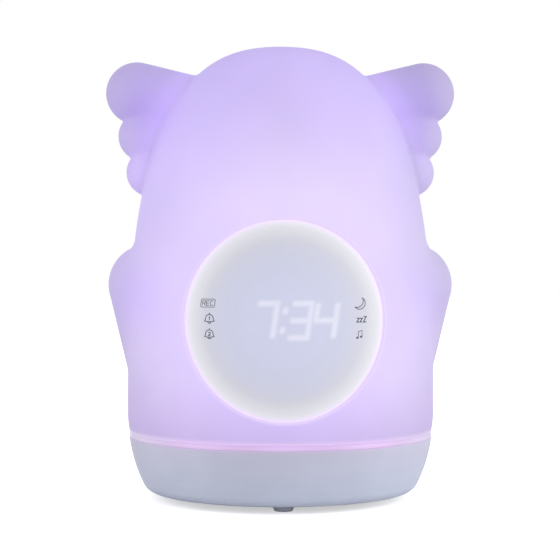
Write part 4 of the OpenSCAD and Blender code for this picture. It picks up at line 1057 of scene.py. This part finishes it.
def two(x, y, s):
    """The digit 2 as a stroke."""
    top = arc(x, y + 0.28 * s, 0.42 * s, 170, -25, 8)
    return [(top + [(x - 0.45 * s, y - 0.7 * s), (x + 0.5 * s, y - 0.7 * s)], False)]


def letter_z(x, y, w, h):
    """A Z as a stroke, from its lower left corner."""
    return [([(x, y + h), (x + w, y + h), (x, y), (x + w, y)], False)]


# Capital letters as strokes in a box of width and height 1.
LETTERS = {
    "R": (((0, 0), (0, 1), (0.8, 1), (1, 0.78), (0.8, 0.52), (0, 0.52)), ((0.5, 0.52), (1, 0))),
    "E": (((1, 1), (0, 1), (0, 0), (1, 0)), ((0, 0.5), (0.8, 0.5))),
    "C": (((1, 0.85), (0.75, 1), (0.25, 1), (0, 0.75), (0, 0.25), (0.25, 0), (0.75, 0), (1, 0.15)),),
}
LETTER_W = 1.12
LETTER_H = 1.8
LETTER_GAP = 0.38
# The box round REC: its size, how much of its corners is cut off, and where the R starts in it.
REC_W = 5.4
REC_H = 3.1
REC_CUT = 0.35
REC_START = (0.62, 0.65)


def rec_sign(x, y, lean):
    """REC in a leaning box, from its lower left corner."""
    def shape(points):
        return [(x + u + lean * v, y + v) for u, v in points]

    w, h, cut = REC_W, REC_H, REC_CUT
    signs = [(shape([(cut, 0), (w - cut, 0), (w, cut), (w, h - cut), (w - cut, h), (cut, h), (0, h - cut),
                     (0, cut)]), True)]
    u, v = REC_START
    for letter in "REC":
        for stroke in LETTERS[letter]:
            signs.append((shape([(u + a * LETTER_W, v + b * LETTER_H) for a, b in stroke]), False))
        u += LETTER_W + LETTER_GAP
    return signs


def on_window(spot, face):
    """A spot on the front of the window, at the print's face or its back."""
    x, z = spot
    return [x, float(body_front(x, z)) + (-PRINT_PROUD if face else PRINT_SUNK), z]


def on_key(x_key, y_face):
    """The place of spots on a key or panel at the back, seen from behind."""
    def place(spot, face):
        return [x_key - spot[0], y_face + (PRINT_PROUD if face else -PRINT_SUNK), spot[1]]
    return place


def print_signs(name, groups, place, dots=(), body="root"):
    """Printed signs as one thin closed mesh; a group is a list of strokes and their width."""
    points, faces = [], []
    for strokes, width in groups:
        for line, closed in strokes:
            add_stroke(points, faces, line, closed, width, place)
    for dot in dots:
        add_dot(points, faces, *dot, place)
    make_piece(name, points, faces, ink, body=body, slot="dark_plastic")


# Left of the digits: REC and the two numbered bells. Right of them: moon, zzZ and two joined notes.
BELL_X = -29.3
BELL_SIZE = 0.98
BELL_DIGIT_SIZE = 0.95
BELL_DIGIT_DOWN = 0.35
NUMBERED_BELLS = ((77.55, one), (71.55, two))
REC_SPOT = (-32.75, 81.62)
REC_LEAN = 0.13
# The moon's outer and inner arc as (x, z, radius, first angle, last angle, points).
MOON_ARCS = ((29.1, 83.1, 2.35, 63, -138, 24), (28.25, 83.9, 2.4, -110, 28, 20))
# The letters of the snooze sign as (x, z, width, height).
SNOOZE_LETTERS = ((28.05, 75.78, 0.95, 1.45), (29.35, 75.78, 0.9, 1.45), (30.7, 75.76, 1.15, 2.05))
# The line of the notes' stems and beam, the middles of their heads, and half the width and height of a
# head and how many degrees it leans.
NOTE_STEMS = ((28.62, 69.75), (28.62, 72.02), (30.14, 72.5), (30.14, 70.1))
NOTE_HEADS = ((28.24, 69.68), (29.76, 70.03))
NOTE_HEAD = (0.55, 0.42, 20)
bells = []
for bell_z, digit in NUMBERED_BELLS:
    bells += bell(BELL_X, bell_z, BELL_SIZE) + digit(BELL_X, bell_z - BELL_DIGIT_DOWN, BELL_DIGIT_SIZE)
moon = [([point for moon_arc in MOON_ARCS for point in arc(*moon_arc)], True)]
snooze = [stroke for letter in SNOOZE_LETTERS for stroke in letter_z(*letter)]
print_signs("window_signs", [(rec_sign(*REC_SPOT, REC_LEAN), STROKE_W["rec"]),
                             (bells + moon, STROKE_W["bell"]), (snooze, STROKE_W["snooze"]),
                             ([(NOTE_STEMS, False)], STROKE_W["note"])],
            on_window, dots=[(*spot, *NOTE_HEAD) for spot in NOTE_HEADS])

# The row of keys at the back, with their faces, and the panel that the switch stands in.
KEY_ROW_Z = 18.2
KEY_FACE_Y = 51.6
KEY_PITCH = 10.5
PANEL_Y = 50.0


def spokes(x, y, inner, outer):
    """Eight rays round a lamp."""
    angles = [2 * math.pi * i / 8 for i in range(8)]
    return [([(x + r * math.cos(a), y + r * math.sin(a)) for r in (inner, outer)], False) for a in angles]


BAR_HALF = 1.4
level_bar = ([(-BAR_HALF, KEY_ROW_Z), (BAR_HALF, KEY_ROW_Z)], False)
upright_bar = ([(0, KEY_ROW_Z - BAR_HALF), (0, KEY_ROW_Z + BAR_HALF)], False)
key_bell = bell(0, KEY_ROW_Z + 0.1, 1.0)
# The sign of each key as strokes and dots, in the order of the row, seen from behind.
KEY_SIGNS = {
    "key_alarm_1": (key_bell + one(0, KEY_ROW_Z - 0.2, 1.0), ()),
    "key_alarm_2": (key_bell + two(0, KEY_ROW_Z - 0.2, 1.0), ()),
    "key_record": ([(arc(0, KEY_ROW_Z, 1.8, 0, 345, 24), True)], [(0, KEY_ROW_Z, 0.9, 0.9, 0)]),
    "key_light": ([(arc(0, KEY_ROW_Z, 0.9, 0, 342, 20), True)] + spokes(0, KEY_ROW_Z, 1.35, 2.05), ()),
    "key_minus": ([level_bar], ()),
    "key_plus": ([level_bar, upright_bar], ()),
}
for i, (key, (strokes, dots)) in enumerate(KEY_SIGNS.items()):
    x = ((len(KEY_SIGNS) - 1) / 2 - i) * KEY_PITCH
    width = STROKE_W["bold_key" if key in BOLD_KEYS else "key"]
    print_signs(key + "_sign", [(strokes, width)], on_key(x, KEY_FACE_Y), dots=dots, body=key)

# A line and a ring on either side of the power switch.
SWITCH_X = -13.0
SWITCH_SIGN_AWAY = 5.4
switch_line = ([(0, SOCKET_Z - 0.9), (0, SOCKET_Z + 0.9)], False)
switch_ring = (arc(0, SOCKET_Z, 0.85, 0, 342, 20), True)
for name, stroke, away in (("switch_signs", switch_line, SWITCH_SIGN_AWAY),
                           ("switch_ring_sign", switch_ring, -SWITCH_SIGN_AWAY)):
    print_signs(name, [([stroke], STROKE_W["switch"])], on_key(SWITCH_X + away, PANEL_Y))


# ---------------------------------------------------------------- screws

# The named inputs of the screws' tree and their kinds.
SCREW_INPUTS = (
    ("Points", "Geometry"), ("Head Radius", "Float"), ("Head Height", "Float"), ("Shaft Radius", "Float"),
    ("Shaft Length", "Float"), ("Recess Width", "Float"), ("Recess Depth", "Float"), ("Seed", "Int"),
    ("Finish", "Material"))
# Shares of a screw's sizes: the radius of its head's face, the length of its recess, the height of
# the recess's cutter, which is half outside, where the shaft starts in the head, and the radius of the
# blunt point.
SCREW_SHARES = {
    "rim": ("Head Radius", 0.86), "recess": ("Head Radius", 1.15), "cutter": ("Recess Depth", 2.0),
    "start": ("Head Height", 0.6), "point": ("Shaft Radius", 0.55)}
HEAD_SEGMENTS = 40
SHAFT_SEGMENTS = 24


def cross_head_tree():
    """Screws with a dished cross recess on a mesh's points, their heads down, each turned its own way."""
    tree = bpy.data.node_groups.new("cross_head_screws", "GeometryNodeTree")
    for name, kind in SCREW_INPUTS:
        tree.interface.new_socket(name, in_out="INPUT", socket_type="NodeSocket" + kind)
    tree.interface.new_socket("Screws", in_out="OUTPUT", socket_type="NodeSocketGeometry")
    size = add(tree, "NodeGroupInput").outputs
    part = {name: add(tree, "ShaderNodeMath", {0: size[source], 1: share}, operation="MULTIPLY")
            for name, (source, share) in SCREW_SHARES.items()}
    head = add(tree, "GeometryNodeMeshCone", {"Vertices": HEAD_SEGMENTS, "Radius Top": size["Head Radius"],
               "Radius Bottom": part["rim"], "Depth": size["Head Height"]})
    # Two bars across each other cut the recess.
    cuts = []
    for x, y in ((part["recess"], size["Recess Width"]), (size["Recess Width"], part["recess"])):
        bar = add(tree, "ShaderNodeCombineXYZ", {"X": x, "Y": y, "Z": part["cutter"]})
        cuts.append(add(tree, "GeometryNodeMeshCube", {"Size": bar}))
    cut = add(tree, "GeometryNodeMeshBoolean", {"Mesh 2": cuts[0]}, operation="UNION")
    tree.links.new(cuts[1].outputs["Mesh"], cut.inputs["Mesh 2"])
    recessed = add(tree, "GeometryNodeMeshBoolean", {"Mesh 1": head, "Mesh 2": cut}, operation="DIFFERENCE")
    reach = add(tree, "ShaderNodeMath", {0: size["Shaft Length"], 1: size["Head Height"]}, operation="ADD")
    length = add(tree, "ShaderNodeMath", {0: reach, 1: part["start"]}, operation="SUBTRACT")
    shaft = add(tree, "GeometryNodeMeshCone", {"Vertices": SHAFT_SEGMENTS, "Radius Top": part["point"],
                "Radius Bottom": size["Shaft Radius"], "Depth": length})
    lift = add(tree, "ShaderNodeCombineXYZ", {"Z": part["start"]})
    raised = add(tree, "GeometryNodeTransform", {"Geometry": shaft, "Translation": lift})
    screw = add(tree, "GeometryNodeJoinGeometry", {"Geometry": recessed})
    tree.links.new(raised.outputs["Geometry"], screw.inputs["Geometry"])
    turn = add(tree, "FunctionNodeRandomValue", {
        "Min": (0, 0, 0), "Max": (0, 0, math.pi), "Seed": size["Seed"]}, data_type="FLOAT_VECTOR")
    spread = add(tree, "GeometryNodeInstanceOnPoints", {
        "Points": size["Points"], "Instance": screw, "Rotation": turn})
    real = add(tree, "GeometryNodeRealizeInstances", {"Geometry": spread})
    finished = add(tree, "GeometryNodeSetMaterial", {"Geometry": real, "Material": size["Finish"]})
    add(tree, "NodeGroupOutput", {0: finished})
    return tree


def make_screws(name, tree, places, sizes, seed, body, replaces):
    """Zinc-plated screws at places; sizes are the tree's named inputs. All are in millimetres."""
    mesh = bpy.data.meshes.new(name)
    mesh.from_pydata([[c * MM for c in p] for p in places], [], [])
    holder = bpy.data.objects.new(name, mesh)
    bpy.context.scene.collection.objects.link(holder)
    modifier = holder.modifiers.new("screws", "NODES")
    modifier.node_group = tree
    values = {key: size * MM for key, size in sizes.items()} | {"Seed": seed, "Finish": steel}
    for socket in tree.interface.items_tree:
        if socket.in_out == "INPUT" and socket.name in values:
            modifier[socket.identifier] = values[socket.name]
    bpy.context.view_layer.update()
    evaluated = holder.evaluated_get(bpy.context.evaluated_depsgraph_get())
    plain = bpy.data.meshes.new_from_object(evaluated)
    holder.modifiers.clear()
    bpy.data.objects.remove(holder)
    plain.shade_smooth()
    plain.set_sharp_from_angle(angle=SHARP_SCREW_ANGLE)
    place_piece(name, plain, body, "steel", replaces)


# The heads' faces look down, this high over the floor.
HEAD_FACE_Z = 3.1
COVER_SCREW_R = 44.6
COVER_SCREW_ANGLES = (45, 135, 225, 315)
DOOR_SCREW_SPOT = (10.0, -37.5)
COVER_SCREW = {"Head Radius": 2.3, "Head Height": 1.2, "Shaft Radius": 1.25, "Shaft Length": 8,
               "Recess Width": 0.6, "Recess Depth": 0.7}
DOOR_SCREW = {"Head Radius": 1.9, "Head Height": 0.7, "Shaft Radius": 1.0, "Shaft Length": 3.2,
              "Recess Width": 0.5, "Recess Depth": 0.45}
cross_heads = cross_head_tree()
cover_spots = [(COVER_SCREW_R * math.cos(a), COVER_SCREW_R * math.sin(a), HEAD_FACE_Z)
               for a in map(math.radians, COVER_SCREW_ANGLES)]
make_screws("cover_screws", cross_heads, cover_spots, COVER_SCREW, 3, "root", ["bottom_screws"])
make_screws("door_screw", cross_heads, [(*DOOR_SCREW_SPOT, HEAD_FACE_Z)], DOOR_SCREW, 5, "battery_door",
            ["battery_door_screw"])


# ---------------------------------------------------------------- room, lights and camera

# The room is measured in metres. Half the floor's side, and the share of white that it shows the camera
# on top of its paint.
FLOOR_HALF = 3.0
FLOOR_VEIL = 0.5
# What the walls of the room give off, as a share of white.
ROOM_LIGHT = 0.66
# Square soft boxes as (name, place, watts), their side and the spot that they are turned to.
SOFTBOXES = (("right_box", (0.8, -0.25, 0.35), 4.3), ("left_box", (-0.8, -0.25, 0.35), 2.85),
             ("front_box", (0.25, -0.8, 0.8), 1.2))
SOFTBOX_SIDE = 0.6
SOFTBOX_AIM = (0, 0, 0.09)
CAMERA_DISTANCE = 0.75
CAMERA_Z = 0.105
CAMERA_TURN = math.radians(-1.7)
CAMERA_AIM = (-0.0002, 0, 0.0911)
# Millimetres of focal length and sensor.
CAMERA_LENS = 114.8
CAMERA_SENSOR = 36
CAMERA_CLIP = (0.01, 20)


def build_floor():
    """A pale matt floor that the camera sees as white, with the object's soft shadow on it."""
    material, tree, _ = new_material("pale_floor")
    seen = add(tree, "ShaderNodeLightPath").outputs["Is Camera Ray"]
    paint = add(tree, "ShaderNodeBsdfDiffuse", {"Color": linear("f6f6f7"), "Roughness": 0.5})
    veil = add(tree, "ShaderNodeMath", {0: seen, 1: FLOOR_VEIL}, operation="MULTIPLY")
    veil = add(tree, "ShaderNodeEmission", {"Color": (1, 1, 1, 1), "Strength": veil})
    both = add(tree, "ShaderNodeAddShader", {0: paint, 1: veil})
    add(tree, "ShaderNodeOutputMaterial", {"Surface": both})
    mesh = bpy.data.meshes.new("floor")
    corners = [(x * FLOOR_HALF, y * FLOOR_HALF, 0) for x, y in ((-1, -1), (1, -1), (1, 1), (-1, 1))]
    mesh.from_pydata(corners, [], [(0, 1, 2, 3)])
    mesh.materials.append(material)
    floor = bpy.data.objects.new("floor", mesh)
    bpy.context.scene.collection.objects.link(floor)


def turned_to(aim, place):
    """The rotation of a lamp or camera at a place that looks at the aim."""
    return (Vector(aim) - Vector(place)).to_track_quat("-Z", "Y").to_euler()


def build_lights():
    """An even white room and three soft boxes; the camera, gloss and glass see the room as white."""
    world = bpy.data.worlds.new("studio")
    bpy.context.scene.world = world
    world.use_nodes = True
    tree = world.node_tree
    tree.nodes.clear()
    path = add(tree, "ShaderNodeLightPath").outputs
    seen = path["Is Camera Ray"]
    for ray in ("Is Glossy Ray", "Is Transmission Ray"):
        seen = add(tree, "ShaderNodeMath", {0: seen, 1: path[ray]}, operation="MAXIMUM")
    strength = add(tree, "ShaderNodeMapRange", {"Value": seen, "To Min": ROOM_LIGHT, "To Max": 1.0})
    sky = add(tree, "ShaderNodeBackground", {"Color": (1, 1, 1, 1), "Strength": strength})
    add(tree, "ShaderNodeOutputWorld", {"Surface": sky})
    for name, place, power in SOFTBOXES:
        lamp = bpy.data.lights.new(name, "AREA")
        lamp.shape = "SQUARE"
        lamp.size = SOFTBOX_SIDE
        lamp.energy = power
        light = bpy.data.objects.new(name, lamp)
        bpy.context.scene.collection.objects.link(light)
        light.location = place
        light.rotation_euler = turned_to(SOFTBOX_AIM, place)


def build_camera():
    """A long lens in front of the clock, a little to its left and just above its middle."""
    lens = bpy.data.cameras.new("view")
    camera = bpy.data.objects.new("view", lens)
    bpy.context.scene.collection.objects.link(camera)
    camera.location = (CAMERA_DISTANCE * math.sin(CAMERA_TURN),
                       -CAMERA_DISTANCE * math.cos(CAMERA_TURN), CAMERA_Z)
    camera.rotation_euler = turned_to(CAMERA_AIM, camera.location)
    lens.sensor_width = CAMERA_SENSOR
    lens.lens = CAMERA_LENS
    lens.clip_start, lens.clip_end = CAMERA_CLIP
    bpy.context.scene.camera = camera


build_floor()
build_lights()
build_camera()
bpy.context.scene.view_settings.view_transform = "Standard"
